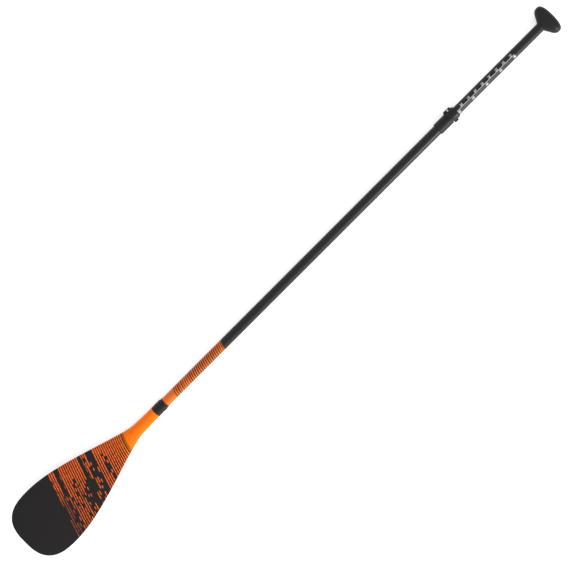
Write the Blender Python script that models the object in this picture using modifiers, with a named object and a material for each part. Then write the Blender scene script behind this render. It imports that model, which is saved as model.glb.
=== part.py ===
"""Adjustable single blade paddle for stand-up paddling.

Three sections: a foam-cored blade on a spigot, a main shaft with a lever clamp, and an upper shaft
with a T-grip that slides and turns in the main shaft.  The paddle lies face up with its shaft along X,
blade at -X and grip at +X.  The origin is under the middle of the paddle, on the surface it lies on.
All sizes are in metres.
"""
import math

import bmesh
import bpy
from mathutils import Matrix, Vector
from mathutils.geometry import interpolate_bezier

# Overall
TIP_X = -1.0
GRIP_END_X = 1.0
SHAFT_Z = 0.0198
GAP = 0.0003
END_CUT = 0.0003
ROUND_STEPS = 48
SMALL_STEPS = 24

# Blade: distances are measured from the tip
BLADE_HALF_WIDTH = 0.0958
TIP_LENGTH = 0.103
TIP_POWER = 2.78
SHOULDER_END = 0.4395
SHOULDER_HALF_WIDTH = 0.0176
SHOULDER_LEAD_IN = 0.112
SHOULDER_LEAD_OUT = 0.057
NECK_END = 0.5043
NECK_R = 0.0162
EDGE_HALF_THICKNESS = 0.0016
CROWN = 0.0026
SPINE_HEIGHT = 0.0030
SPINE_HALF_WIDTH = 0.014
SPINE_FADE_START = 0.14
NECK_BLEND_START = 0.31
CANT_DEGREES = 8.0
CANT_START = 0.330
CANT_END = 0.440
SKIN = 0.0010
NECK_WALL = 0.0032
NECK_SWELL = 0.0003
WALL_BLEND_START = 0.360
WALL_BLEND_END = 0.4295
TIP_FADE_LENGTH = 0.030
THINNEST_HOLLOW = 0.00005
RIM_LAND = 0.0040
CAVITY_START = 0.010
CORE_START = 0.012
CORE_END = 0.434
CAVITY_OVERRUN = 0.002
TIP_STEPS = 12
SHOULDER_STEPS = 17
SKIN_STEPS = 18
CAVITY_STEPS = 14
CORE_STEPS = 12

# Spigot that joins the blade to the main shaft
FERRULE_R = 0.0126
FERRULE_BORE_R = 0.0115
FERRULE_START_X = -0.5620
FERRULE_END_X = -0.3750
PLUG_R = 0.0112
PLUG_START_X = -0.5605
PLUG_END_X = -0.5405

# Snap button and its V-shaped leaf spring
BUTTON_X = -0.4800
BUTTON_R = 0.0035
BUTTON_HOLE_R = 0.0039
BUTTON_OUT_Y = -0.0168
SPRING_FOLD_X = -0.5250
SPRING_BEND_X = -0.4890
SPRING_END_X = -0.4700
SPRING_WALL_Y = 0.0102
SPRING_FOLD_Y = 0.0016
SPRING_THICKNESS = 0.0008
SPRING_WIDTH = 0.0060
SPRING_FOLD_STEPS = 6
BUTTON_HOLE_OUTER_Y = -0.0200
BUTTON_HOLE_INNER_Y = -0.0090

# Main tube and its lower collar
MAIN_TUBE_R = 0.0140
MAIN_BORE_R = 0.0128
MAIN_START_X = -0.4930
MAIN_END_X = 0.6170
COLLAR_START_X = -0.4953
COLLAR_STEP_X = -0.4647
COLLAR_END_X = -0.4563
COLLAR_R = 0.0162
COLLAR_LIP_R = 0.0148
COLLAR_BORE_R = 0.0143
COLLAR_THROAT_R = 0.0129
COLLAR_THROAT_LENGTH = 0.0018
COLLAR_CHAMFER = 0.0006

# Clamp: slotted sleeve, band with ears, bolt and cam lever
SLEEVE_START_X = 0.5820
SLEEVE_CHAMFER = 0.0022
SLEEVE_R = 0.0168
SLEEVE_STEP_LOW_X = 0.6189
SLEEVE_STEP_HIGH_X = 0.6267
SLEEVE_END_X = 0.6517
FINGER_R = 0.0142
FINGER_BORE_R = 0.0129
FINGER_COUNT = 6
SLOT_WIDTH = 0.0016
SLOT_START_X = 0.6290
BAND_BORE_R = 0.0145
BAND_R = 0.0165
BAND_SPLIT = 0.0024
BAND_CHAMFER = 0.0012
CUT_MARGIN = 0.0020
CUT_REACH = 0.0300
SPOT_FACE_DEPTH = 0.0080
EAR_HALF_THICKNESS = 0.0075
EAR_OUTLINE = (
    (0.6195, 0.0125), (0.6195, 0.0160), (0.6225, 0.0205), (0.6245, 0.0220), (0.6330, 0.0220),
    (0.6420, 0.0200), (0.6440, 0.0187), (0.6493, 0.0150), (0.6493, 0.0125),
)
BOLT_X = 0.6349
BOLT_Y = 0.0175
BOLT_R = 0.0020
BOLT_HOLE_R = 0.0023
BOLT_HEAD_R = 0.0032
BOLT_HEAD_HEIGHT = 0.0028
BOLT_SOCKET_R = 0.0017
BOLT_SOCKET_DEPTH = 0.0016
WASHER_R = 0.0040
WASHER_THICKNESS = 0.0006
BARREL_Z = -0.0138
BARREL_R = 0.0030
BARREL_LENGTH = 0.0190
BOLT_TAIL_INSET = 0.0006
CROSS_HOLE_LENGTH = 0.0100

# Cam lever: a curved arm that wraps round behind the tube
CAM_R = 0.0047
CAM_OFFSET = 0.0004
CAM_WIDTH = 0.0200
CAM_SLOT_WIDTH = 0.0052
CAM_SLOT_REACH = 0.0080
ARM_INNER_R = 0.0170
ARM_OUTER_R = 0.0196
ARM_START_DEGREES = -36.0
ARM_END_DEGREES = -176.0
ARM_STEPS = 28
ARM_TIP_WIDTH = 0.0120
ARM_TAPER_START = 0.1
ARM_TAPER_END = 0.9
PAD_HALF_DEGREES = 14.0
PAD_EDGE_DEGREES = 0.6
TIP_FLARE = 0.0012
TIP_FLARE_DEGREES = 24.0

# Upper shaft
UPPER_TUBE_R = 0.0126
UPPER_BORE_R = 0.0115
UPPER_START_X = 0.3200
UPPER_END_X = 0.9557
END_PLUG_R = 0.0112
END_PLUG_LENGTH = 0.0250
END_PLUG_WALL = 0.0020
SPIGOT_R = 0.0098
BUSH_BORE_R = 0.0101
BUSH_R = 0.0127
BUSH_LENGTH = 0.0100
FLANGE_LENGTH = 0.0030
HEAD_LENGTH = 0.0040
HEAD_INSET = 0.0012

# T-grip
STEM_R = 0.0126
GRIP_START_X = 0.9560
GRIP_CENTRE_X = 0.9824
GRIP_HALF_WIDTH = 0.0426
GRIP_HALF_LENGTH_DOWN = 0.0229
GRIP_HALF_LENGTH_UP = GRIP_END_X - GRIP_CENTRE_X
GRIP_HALF_THICKNESS = 0.0190
GRIP_POWER_DOWN = 2.1
GRIP_POWER_UP = 2.7
GRIP_STEM_POWER = 2.0
GRIP_BAR_POWER = 2.5
FLARE_SLOPE = 1.83
FLARE_LIMIT = 0.0298
GRIP_WALL = 0.0030
GRIP_STATIONS = 18
GRIP_STEPS = 36
GRIP_HOLLOW_STEPS = 20
GRIP_BOX_HALF_WIDTH = 0.0600
GRIP_BOX_HALF_THICKNESS = 0.0300
STEM_BORE_LENGTH = 0.0120
INSERT_START_X = 0.9150
INSERT_END_X = 0.9740
INSERT_R = 0.0112
TONGUE_R = 0.0090
INSERT_BORE_R = 0.0060

# Colour, roughness and metallic value of each material
MATERIALS = {
    "blade_skin": ((0.030, 0.028, 0.027), 0.38, 0.0),
    "foam": ((0.75, 0.72, 0.62), 0.90, 0.0),
    "carbon_tube": ((0.040, 0.038, 0.038), 0.40, 0.0),
    "black_nylon": ((0.035, 0.034, 0.036), 0.55, 0.0),
    "grip_nylon": ((0.030, 0.029, 0.030), 0.48, 0.0),
    "bush": ((0.80, 0.79, 0.75), 0.45, 0.0),
    "steel": ((0.62, 0.62, 0.64), 0.28, 1.0),
}


def clear_scene():
    for old in list(bpy.data.objects):
        bpy.data.objects.remove(old, do_unlink=True)


def new_collection(name):
    collection = bpy.data.collections.new(name)
    bpy.context.scene.collection.children.link(collection)
    return collection


def make_materials():
    made = {}
    for name, (colour, roughness, metallic) in MATERIALS.items():
        material = bpy.data.materials.new(name)
        material.use_nodes = True
        shader = material.node_tree.nodes["Principled BSDF"]
        shader.inputs["Base Color"].default_value = (*colour, 1.0)
        shader.inputs["Roughness"].default_value = roughness
        shader.inputs["Metallic"].default_value = metallic
        made[name] = material
    return made


class Workshop:
    """Makes solids, puts parts and cutters in their collections and joins or cuts them."""

    def __init__(self):
        self.parts = new_collection("single_blade_paddle")
        self.cutters = new_collection("cutters")
        self.materials = make_materials()

    def add(self, name, bm, material=None):
        """A part with the given material, or a hidden cutter where there is none."""
        mesh = bpy.data.meshes.new(name)
        bm.to_mesh(mesh)
        bm.free()
        solid = bpy.data.objects.new(name, mesh)
        if material is None:
            self.cutters.objects.link(solid)
            solid.hide_render = True
            solid.display_type = "WIRE"
        else:
            self.parts.objects.link(solid)
            mesh.materials.append(self.materials[material])
        return solid

    def turned(self, name, profile, material=None):
        """A solid of revolution about the shaft.  The profile is a closed loop of (x, radius)."""
        bm = bmesh.new()
        loop = [bm.verts.new((radius, 0.0, x)) for x, radius in profile]
        for here, there in zip(loop, loop[1:] + loop[:1]):
            bm.edges.new((here, there))
        solid = self.add(name, bm, material)
        lay_along_x = Matrix.Rotation(math.pi / 2, 4, "Y")
        solid.matrix_world = Matrix.Translation((0.0, 0.0, SHAFT_Z)) @ lay_along_x
        screw = solid.modifiers.new("turn", "SCREW")
        screw.steps = ROUND_STEPS
        screw.render_steps = ROUND_STEPS
        screw.use_merge_vertices = True
        screw.merge_threshold = 0.00001
        screw.use_smooth_shade = False
        return solid

    def tube(self, name, start, end, radius, bore, material=None):
        profile = ((end, radius), (start, radius), (start, bore), (end, bore))
        return self.turned(name, profile, material)

    def cylinder(self, name, centre, axis, radius, length, material=None, steps=SMALL_STEPS):
        bm = bmesh.new()
        bmesh.ops.create_cone(
            bm, cap_ends=True, segments=steps, radius1=radius, radius2=radius, depth=length
        )
        turn = Vector((0.0, 0.0, 1.0)).rotation_difference(Vector(axis)).to_matrix().to_4x4()
        solid = self.add(name, bm, material)
        solid.matrix_world = Matrix.Translation(centre) @ turn
        return solid

    def block(self, name, low, high, material=None):
        bm = bmesh.new()
        bmesh.ops.create_cube(bm, size=1.0)
        size = [b - a for a, b in zip(low, high)]
        middle = [(a + b) / 2 for a, b in zip(low, high)]
        bmesh.ops.scale(bm, vec=size, verts=bm.verts)
        bmesh.ops.translate(bm, vec=middle, verts=bm.verts)
        return self.add(name, bm, material)

    def loft(self, name, rings, material=None):
        """A closed solid through rings that all have the same number of points."""
        bm = bmesh.new()
        loops = [[bm.verts.new(point) for point in ring] for ring in rings]
        for near, far in zip(loops, loops[1:]):
            for i, _ in enumerate(near):
                j = (i + 1) % len(near)
                bm.faces.new((near[i], near[j], far[j], far[i]))
        bm.faces.new(loops[0])
        bm.faces.new(loops[-1])
        bmesh.ops.recalc_face_normals(bm, faces=bm.faces)
        return self.add(name, bm, material)

    def prism(self, name, outline, low_z, high_z, material=None):
        """A flat outline in X and Y, filled and raised from low_z to high_z."""
        bm = bmesh.new()
        face = bm.faces.new([bm.verts.new((x, y, low_z)) for x, y in outline])
        raised = bmesh.ops.extrude_face_region(bm, geom=[face])
        top = [item for item in raised["geom"] if isinstance(item, bmesh.types.BMVert)]
        bmesh.ops.translate(bm, vec=(0.0, 0.0, high_z - low_z), verts=top)
        bmesh.ops.recalc_face_normals(bm, faces=bm.faces)
        return self.add(name, bm, material)

    @staticmethod
    def combine(solid, other, operation="DIFFERENCE"):
        modifier = solid.modifiers.new(f"{operation.lower()}_{other.name}", "BOOLEAN")
        modifier.operation = operation
        modifier.solver = "EXACT"
        modifier.object = other


def smooth_step(value, start, end):
    t = min(max((value - start) / (end - start), 0.0), 1.0)
    return t * t * (3.0 - 2.0 * t)


def superellipse(fraction, power):
    """Height, from 0 to 1, of a superellipse at this fraction of its half width."""
    return (1.0 - min(abs(fraction), 1.0) ** power) ** (1.0 / power)


def on_shaft(x, y, z):
    """A point given from the shaft's axis."""
    return (x, y, SHAFT_Z + z)


# ---------------------------------------------------------------- blade

def blade_outline():
    """(distance from the tip, half width): a superellipse tip, one curve down to the neck, the neck."""
    tip = []
    for i in range(TIP_STEPS):
        reach = END_CUT + (TIP_LENGTH - END_CUT) * (1.0 - math.cos(math.pi / 2 * i / TIP_STEPS))
        tip.append((reach, BLADE_HALF_WIDTH * superellipse(1.0 - reach / TIP_LENGTH, TIP_POWER)))
    curve = interpolate_bezier(
        Vector((TIP_LENGTH, BLADE_HALF_WIDTH, 0.0)),
        Vector((TIP_LENGTH + SHOULDER_LEAD_IN, BLADE_HALF_WIDTH, 0.0)),
        Vector((SHOULDER_END - SHOULDER_LEAD_OUT, SHOULDER_HALF_WIDTH, 0.0)),
        Vector((SHOULDER_END, SHOULDER_HALF_WIDTH, 0.0)),
        SHOULDER_STEPS,
    )
    shoulder = [(point.x, point.y) for point in curve]
    neck = [((SHOULDER_END + NECK_END) / 2, NECK_R + NECK_SWELL), (NECK_END, NECK_R)]
    return tip + shoulder + neck


def blade_centre_z(reach):
    """Height of the blade's middle surface above the shaft's axis: the tip is canted upwards."""
    slope = math.tan(math.radians(CANT_DEGREES))
    bend = CANT_END - CANT_START
    if reach >= CANT_END:
        return 0.0
    if reach >= CANT_START:
        return slope * (CANT_END - reach) ** 2 / (2.0 * bend)
    return slope * (bend / 2.0 + CANT_START - reach)


def blade_height(reach, y, half_width, spine):
    """Height of the outer face over the middle surface, from a flat blade to a round neck."""
    v = min(abs(y) / half_width, 1.0)
    tip_fade = math.sqrt(1.0 - (1.0 - min(reach / TIP_FADE_LENGTH, 1.0)) ** 2)
    fade = smooth_step(reach, SPINE_FADE_START, NECK_BLEND_START)
    flat = EDGE_HALF_THICKNESS * math.sqrt(1.0 - v ** 6) + CROWN * (1.0 - v * v)
    ridge = spine * fade * math.exp(-(y / SPINE_HALF_WIDTH) ** 2) * (1.0 - v ** 4)
    neck = smooth_step(reach, NECK_BLEND_START, SHOULDER_END)
    return (1.0 - neck) * tip_fade * (flat + ridge) + neck * NECK_R * math.sqrt(1.0 - v * v)


def wall_at(reach):
    """Skin thickness: thin on the blade, thick round the spigot in the neck."""
    return SKIN + (NECK_WALL - SKIN) * smooth_step(reach, WALL_BLEND_START, WALL_BLEND_END)


def land_at(reach):
    """Width of solid rim outside the hollow, which becomes the neck's wall."""
    return RIM_LAND + (NECK_WALL - RIM_LAND) * smooth_step(reach, WALL_BLEND_START, WALL_BLEND_END)


def face_points(reach, half_width, side, spine, steps):
    """Outer face across the blade, from -Y to +Y, on the upper (+1) or lower (-1) side."""
    points = []
    for i in range(steps + 1):
        y = -half_width * math.cos(math.pi * i / steps)
        height = GAP / 2 + blade_height(reach, y, half_width, spine)
        points.append(on_shaft(TIP_X + reach, y, blade_centre_z(reach) + side * height))
    return points


def inner_points(reach, half_width, side, spine, steps, clearance):
    """Face of the hollow, or of the core in it, on one side and without the two shared edge points."""
    in_neck = reach >= SHOULDER_END
    outer_half = NECK_R if in_neck else half_width
    inner_half = outer_half - land_at(reach) - clearance
    points = []
    for i in range(1, steps):
        turn = math.pi * i / steps
        y = -inner_half * math.cos(turn)
        if in_neck:
            height = inner_half * math.sin(turn)
        else:
            height = blade_height(reach, y, half_width, spine) - wall_at(reach) - clearance
        rise = side * max(height, THINNEST_HOLLOW)
        points.append(on_shaft(TIP_X + reach, y, blade_centre_z(reach) + rise))
    return inner_half, points


def inner_ring(reach, half_width, steps, clearance):
    """A whole ring of the blade's hollow: both faces, meeting at a point on each edge."""
    inner_half, upper = inner_points(reach, half_width, 1, 0.0, steps, clearance)
    _, lower = inner_points(reach, half_width, -1, SPINE_HEIGHT, steps, clearance)
    left = on_shaft(TIP_X + reach, -inner_half, blade_centre_z(reach))
    right = on_shaft(TIP_X + reach, inner_half, blade_centre_z(reach))
    return [left] + upper + [right] + lower[::-1]


def blade_cavity(shop):
    rings = [
        inner_ring(reach, half_width, CAVITY_STEPS, 0.0)
        for reach, half_width in blade_outline()
        if reach > CAVITY_START
    ]
    beyond = inner_ring(NECK_END + CAVITY_OVERRUN, NECK_R, CAVITY_STEPS, 0.0)
    return shop.loft("blade_cavity", rings + [beyond])


def blade_skins(shop):
    for name, side, spine in (("blade_front_skin", 1, 0.0), ("blade_back_skin", -1, SPINE_HEIGHT)):
        rings = [face_points(reach, half, side, spine, SKIN_STEPS) for reach, half in blade_outline()]
        skin = shop.loft(name, rings, "blade_skin")
        shop.combine(skin, blade_cavity(shop))


def blade_core(shop):
    rings = [
        inner_ring(reach, half_width, CORE_STEPS, GAP)
        for reach, half_width in blade_outline()
        if CORE_START < reach < CORE_END
    ]
    shop.loft("blade_foam_core", rings, "foam")


# ---------------------------------------------------------------- spigot and snap button

def button_hole(shop):
    centre = on_shaft(BUTTON_X, (BUTTON_HOLE_OUTER_Y + BUTTON_HOLE_INNER_Y) / 2, 0.0)
    length = BUTTON_HOLE_INNER_Y - BUTTON_HOLE_OUTER_Y
    return shop.cylinder("button_hole", centre, (0.0, 1.0, 0.0), BUTTON_HOLE_R, length)


def ferrule(shop):
    tube = shop.tube(
        "blade_ferrule", FERRULE_START_X, FERRULE_END_X, FERRULE_R, FERRULE_BORE_R, "carbon_tube"
    )
    shop.combine(tube, button_hole(shop))
    shop.cylinder(
        "ferrule_plug",
        on_shaft((PLUG_START_X + PLUG_END_X) / 2, 0.0, 0.0),
        (1.0, 0.0, 0.0),
        PLUG_R,
        PLUG_END_X - PLUG_START_X,
        "foam",
        ROUND_STEPS,
    )


def spring_path():
    """Middle line of the V spring: button leg, round fold, and the leg against the far wall."""
    path = [(SPRING_END_X, -SPRING_WALL_Y), (SPRING_BEND_X, -SPRING_WALL_Y)]
    for i in range(SPRING_FOLD_STEPS + 1):
        angle = -math.pi / 2 - math.pi * i / SPRING_FOLD_STEPS
        path.append(
            (SPRING_FOLD_X + SPRING_FOLD_Y * math.cos(angle), SPRING_FOLD_Y * math.sin(angle))
        )
    return path + [(SPRING_BEND_X, SPRING_WALL_Y), (SPRING_END_X, SPRING_WALL_Y)]


def strip_outline(path, thickness):
    """Closed outline of a flat strip of this thickness, bent along the path."""
    points = [Vector(point) for point in path]
    left, right = [], []
    for i, point in enumerate(points):
        before = points[max(i - 1, 0)]
        after = points[min(i + 1, len(points) - 1)]
        along = (after - before).normalized()
        across = Vector((-along.y, along.x)) * thickness / 2
        left.append(tuple(point + across))
        right.append(tuple(point - across))
    return left + right[::-1]


def snap_parts(shop):
    low = SHAFT_Z - SPRING_WIDTH / 2
    high = SHAFT_Z + SPRING_WIDTH / 2
    shop.prism("snap_spring", strip_outline(spring_path(), SPRING_THICKNESS), low, high, "steel")
    inner_y = -SPRING_WALL_Y - SPRING_THICKNESS / 2 - GAP
    shop.cylinder(
        "snap_button",
        on_shaft(BUTTON_X, (inner_y + BUTTON_OUT_Y) / 2, 0.0),
        (0.0, -1.0, 0.0),
        BUTTON_R,
        inner_y - BUTTON_OUT_Y,
        "steel",
    )


# ---------------------------------------------------------------- main shaft

def main_shaft(shop):
    tube = shop.tube(
        "main_tube", MAIN_START_X, MAIN_END_X, MAIN_TUBE_R, MAIN_BORE_R, "carbon_tube"
    )
    throat_x = COLLAR_START_X + COLLAR_THROAT_LENGTH
    collar = shop.turned(
        "joint_collar",
        (
            (COLLAR_END_X, COLLAR_LIP_R),
            (COLLAR_STEP_X, COLLAR_LIP_R),
            (COLLAR_STEP_X, COLLAR_R - COLLAR_CHAMFER),
            (COLLAR_STEP_X - COLLAR_CHAMFER, COLLAR_R),
            (COLLAR_START_X + COLLAR_CHAMFER, COLLAR_R),
            (COLLAR_START_X, COLLAR_R - COLLAR_CHAMFER),
            (COLLAR_START_X, COLLAR_THROAT_R),
            (throat_x, COLLAR_THROAT_R),
            (throat_x, COLLAR_BORE_R),
            (COLLAR_END_X, COLLAR_BORE_R),
        ),
        "black_nylon",
    )
    hole = button_hole(shop)
    shop.combine(tube, hole)
    shop.combine(collar, hole)


# ---------------------------------------------------------------- clamp

def clamp_sleeve(shop):
    bore_step = MAIN_END_X + GAP
    sleeve = shop.turned(
        "clamp_sleeve",
        (
            (SLEEVE_END_X, FINGER_R),
            (SLEEVE_STEP_HIGH_X, FINGER_R),
            (SLEEVE_STEP_HIGH_X, SLEEVE_R),
            (SLEEVE_START_X + SLEEVE_CHAMFER, SLEEVE_R),
            (SLEEVE_START_X, SLEEVE_R - SLEEVE_CHAMFER / 2),
            (SLEEVE_START_X, COLLAR_BORE_R),
            (bore_step, COLLAR_BORE_R),
            (bore_step, FINGER_BORE_R),
            (SLEEVE_END_X, FINGER_BORE_R),
        ),
        "black_nylon",
    )
    for i in range(FINGER_COUNT):
        shop.combine(sleeve, finger_slot(shop, 2.0 * math.pi * i / FINGER_COUNT))
    shop.combine(sleeve, step_notch(shop))


def finger_slot(shop, angle):
    """A box that cuts one radial slot in the sleeve's fingers."""
    slot = shop.block(
        "finger_slot",
        (SLOT_START_X, FINGER_BORE_R - CUT_MARGIN, -SLOT_WIDTH / 2),
        (SLEEVE_END_X + CUT_MARGIN, FINGER_R + CUT_MARGIN, SLOT_WIDTH / 2),
    )
    slot.matrix_world = Matrix.Translation((0.0, 0.0, SHAFT_Z)) @ Matrix.Rotation(angle, 4, "X")
    return slot


def step_notch(shop):
    """Half a ring on the +Y side, where the band reaches further down over the sleeve."""
    high_x = SLEEVE_STEP_HIGH_X + CUT_MARGIN
    ring = shop.tube("step_ring", SLEEVE_STEP_LOW_X, high_x, SLEEVE_R + CUT_MARGIN, FINGER_R)
    half = shop.block(
        "step_half",
        on_shaft(SLEEVE_STEP_LOW_X - CUT_MARGIN, 0.0, -CUT_REACH),
        on_shaft(high_x + CUT_MARGIN, CUT_REACH, CUT_REACH),
    )
    shop.combine(ring, half, "INTERSECT")
    return ring


def clamp_band(shop):
    """A split ring that squeezes the fingers, with two ears for the bolt."""
    low_x = SLEEVE_STEP_LOW_X + GAP
    high_x = SLEEVE_STEP_HIGH_X + GAP
    band = shop.turned(
        "clamp_band",
        (
            (SLEEVE_END_X, BAND_R - BAND_CHAMFER),
            (SLEEVE_END_X - BAND_CHAMFER, BAND_R),
            (low_x, BAND_R),
            (low_x, BAND_BORE_R),
            (SLEEVE_END_X, BAND_BORE_R),
        ),
        "black_nylon",
    )
    ears = shop.prism(
        "band_ears", EAR_OUTLINE, SHAFT_Z - EAR_HALF_THICKNESS, SHAFT_Z + EAR_HALF_THICKNESS
    )
    bore = shop.cylinder(
        "band_bore", on_shaft((low_x + SLEEVE_END_X) / 2, 0.0, 0.0), (1.0, 0.0, 0.0),
        BAND_BORE_R, 2.0 * CUT_REACH, None, ROUND_STEPS,
    )
    split = shop.block(
        "band_split",
        on_shaft(low_x - CUT_MARGIN, BAND_BORE_R / 2, -BAND_SPLIT / 2),
        on_shaft(SLEEVE_END_X + CUT_MARGIN, CUT_REACH, BAND_SPLIT / 2),
    )
    short_side = shop.block(
        "band_short_side",
        on_shaft(low_x - CUT_MARGIN, -CUT_REACH, -CUT_REACH),
        on_shaft(high_x, GAP, CUT_REACH),
    )
    bolt_hole = shop.cylinder(
        "ear_bolt_hole", on_shaft(BOLT_X, BOLT_Y, 0.0), (0.0, 0.0, 1.0), BOLT_HOLE_R, 2.0 * CUT_REACH
    )
    shop.combine(band, ears, "UNION")
    for cutter in (bore, split, short_side, bolt_hole, spot_face(shop, 1), spot_face(shop, -1)):
        shop.combine(band, cutter)


def spot_face(shop, side):
    """A round flat on the ears' upper (+1) or lower (-1) face, for the bolt head or the washer."""
    height = side * (EAR_HALF_THICKNESS + SPOT_FACE_DEPTH / 2)
    centre = on_shaft(BOLT_X, BOLT_Y, height)
    return shop.cylinder("ear_spot_face", centre, (0.0, 0.0, 1.0), WASHER_R + GAP, SPOT_FACE_DEPTH)


def clamp_bolt(shop):
    head_low = EAR_HALF_THICKNESS + GAP
    tail = BARREL_Z - BARREL_R + BOLT_TAIL_INSET
    shank_length = head_low + BOLT_HEAD_HEIGHT / 4 - tail
    bolt = shop.cylinder(
        "tension_bolt",
        on_shaft(BOLT_X, BOLT_Y, head_low + BOLT_HEAD_HEIGHT / 2),
        (0.0, 0.0, 1.0),
        BOLT_HEAD_R,
        BOLT_HEAD_HEIGHT,
        "steel",
    )
    shank = shop.cylinder(
        "bolt_shank", on_shaft(BOLT_X, BOLT_Y, tail + shank_length / 2), (0.0, 0.0, 1.0),
        BOLT_R, shank_length,
    )
    socket = shop.cylinder(
        "bolt_socket", on_shaft(BOLT_X, BOLT_Y, head_low + BOLT_HEAD_HEIGHT), (0.0, 0.0, 1.0),
        BOLT_SOCKET_R, 2.0 * BOLT_SOCKET_DEPTH, None, 6,
    )
    shop.combine(bolt, shank, "UNION")
    shop.combine(bolt, socket)


def cam_washer(shop):
    washer = shop.cylinder(
        "cam_washer",
        on_shaft(BOLT_X, BOLT_Y, -EAR_HALF_THICKNESS - GAP - WASHER_THICKNESS / 2),
        (0.0, 0.0, 1.0),
        WASHER_R,
        WASHER_THICKNESS,
        "steel",
    )
    hole = shop.cylinder(
        "washer_hole", on_shaft(BOLT_X, BOLT_Y, -EAR_HALF_THICKNESS), (0.0, 0.0, 1.0),
        BOLT_HOLE_R, CROSS_HOLE_LENGTH,
    )
    shop.combine(washer, hole)


def barrel_nut(shop):
    nut = shop.cylinder(
        "lever_barrel_nut", on_shaft(BOLT_X, BOLT_Y, BARREL_Z), (1.0, 0.0, 0.0),
        BARREL_R, BARREL_LENGTH, "steel",
    )
    hole = shop.cylinder(
        "nut_hole", on_shaft(BOLT_X, BOLT_Y, BARREL_Z), (0.0, 0.0, 1.0),
        BOLT_HOLE_R, CROSS_HOLE_LENGTH,
    )
    shop.combine(nut, hole)


def arm_section(angle):
    """Four corners of the lever's arm where it has come round to this angle (degrees)."""
    fraction = (angle - ARM_START_DEGREES) / (ARM_END_DEGREES - ARM_START_DEGREES)
    taper = smooth_step(fraction, ARM_TAPER_START, ARM_TAPER_END)
    half_width = (CAM_WIDTH + (ARM_TIP_WIDTH - CAM_WIDTH) * taper) / 2
    flare_start = -ARM_END_DEGREES - TIP_FLARE_DEGREES
    flare = TIP_FLARE * smooth_step(-angle, flare_start, -ARM_END_DEGREES)
    inner = ARM_INNER_R + flare
    outer = ARM_OUTER_R + flare
    turn = math.radians(angle)
    if abs(angle + 90.0) <= PAD_HALF_DEGREES:
        outer = SHAFT_Z / abs(math.sin(turn))
    return [
        on_shaft(BOLT_X + x, radius * math.cos(turn), radius * math.sin(turn))
        for x, radius in (
            (-half_width, inner), (half_width, inner), (half_width, outer), (-half_width, outer)
        )
    ]


def arm_angles():
    """Even steps round the arm, with the flat pad's two edges added."""
    span = ARM_END_DEGREES - ARM_START_DEGREES
    angles = [ARM_START_DEGREES + span * i / ARM_STEPS for i in range(ARM_STEPS + 1)]
    for edge in (-90.0 - PAD_HALF_DEGREES, -90.0 + PAD_HALF_DEGREES):
        angles += [edge - PAD_EDGE_DEGREES, edge + PAD_EDGE_DEGREES]
    return sorted(angles, reverse=True)


def clamp_lever(shop):
    lever = shop.loft("clamp_lever", [arm_section(angle) for angle in arm_angles()], "black_nylon")
    cam = shop.cylinder(
        "lever_cam",
        on_shaft(BOLT_X, BOLT_Y, BARREL_Z + CAM_OFFSET),
        (1.0, 0.0, 0.0),
        CAM_R,
        CAM_WIDTH,
        None,
        ROUND_STEPS,
    )
    nut_hole = shop.cylinder(
        "lever_nut_hole", on_shaft(BOLT_X, BOLT_Y, BARREL_Z), (1.0, 0.0, 0.0),
        BARREL_R + GAP, 2.0 * CAM_WIDTH, None, ROUND_STEPS,
    )
    slot = shop.block(
        "lever_slot",
        on_shaft(BOLT_X - CAM_SLOT_WIDTH / 2, BOLT_Y - CAM_SLOT_WIDTH / 2, BARREL_Z - CAM_SLOT_REACH),
        on_shaft(BOLT_X + CAM_SLOT_WIDTH / 2, BOLT_Y + CAM_SLOT_REACH, BARREL_Z + CAM_SLOT_REACH),
    )
    shop.combine(lever, cam, "UNION")
    shop.combine(lever, nut_hole)
    shop.combine(lever, slot)


# ---------------------------------------------------------------- upper shaft

def guide_end(shop):
    """End plug of the upper tube, and the loose bush that it carries on its spigot."""
    flange_x = UPPER_START_X - GAP
    bush_high = flange_x - FLANGE_LENGTH - GAP
    bush_low = bush_high - BUSH_LENGTH
    head_high = bush_low - GAP
    shop.turned(
        "upper_end_plug",
        (
            (UPPER_START_X + END_PLUG_LENGTH, END_PLUG_R),
            (flange_x, END_PLUG_R),
            (flange_x, UPPER_TUBE_R),
            (flange_x - FLANGE_LENGTH, UPPER_TUBE_R),
            (flange_x - FLANGE_LENGTH, SPIGOT_R),
            (head_high, SPIGOT_R),
            (head_high, UPPER_TUBE_R - HEAD_INSET),
            (head_high - HEAD_LENGTH, SPIGOT_R),
            (head_high - HEAD_LENGTH, SPIGOT_R - END_PLUG_WALL),
            (UPPER_START_X + END_PLUG_LENGTH, SPIGOT_R - END_PLUG_WALL),
        ),
        "black_nylon",
    )
    shop.tube("guide_bush", bush_low, bush_high, BUSH_R, BUSH_BORE_R, "bush")


def upper_shaft(shop):
    guide_end(shop)
    shop.tube("upper_tube", UPPER_START_X, UPPER_END_X, UPPER_TUBE_R, UPPER_BORE_R, "carbon_tube")
    shop.turned(
        "grip_insert",
        (
            (INSERT_END_X, TONGUE_R),
            (UPPER_END_X, TONGUE_R),
            (UPPER_END_X, INSERT_R),
            (INSERT_START_X, INSERT_R),
            (INSERT_START_X, INSERT_BORE_R),
            (INSERT_END_X, INSERT_BORE_R),
        ),
        "black_nylon",
    )


# ---------------------------------------------------------------- T-grip

def grip_reach(x, inset):
    """Fraction of the way from the grip's middle to its palm end, or to its stem end."""
    half = (GRIP_HALF_LENGTH_UP if x > GRIP_CENTRE_X else GRIP_HALF_LENGTH_DOWN) - inset
    return abs(x - GRIP_CENTRE_X) / half


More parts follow.
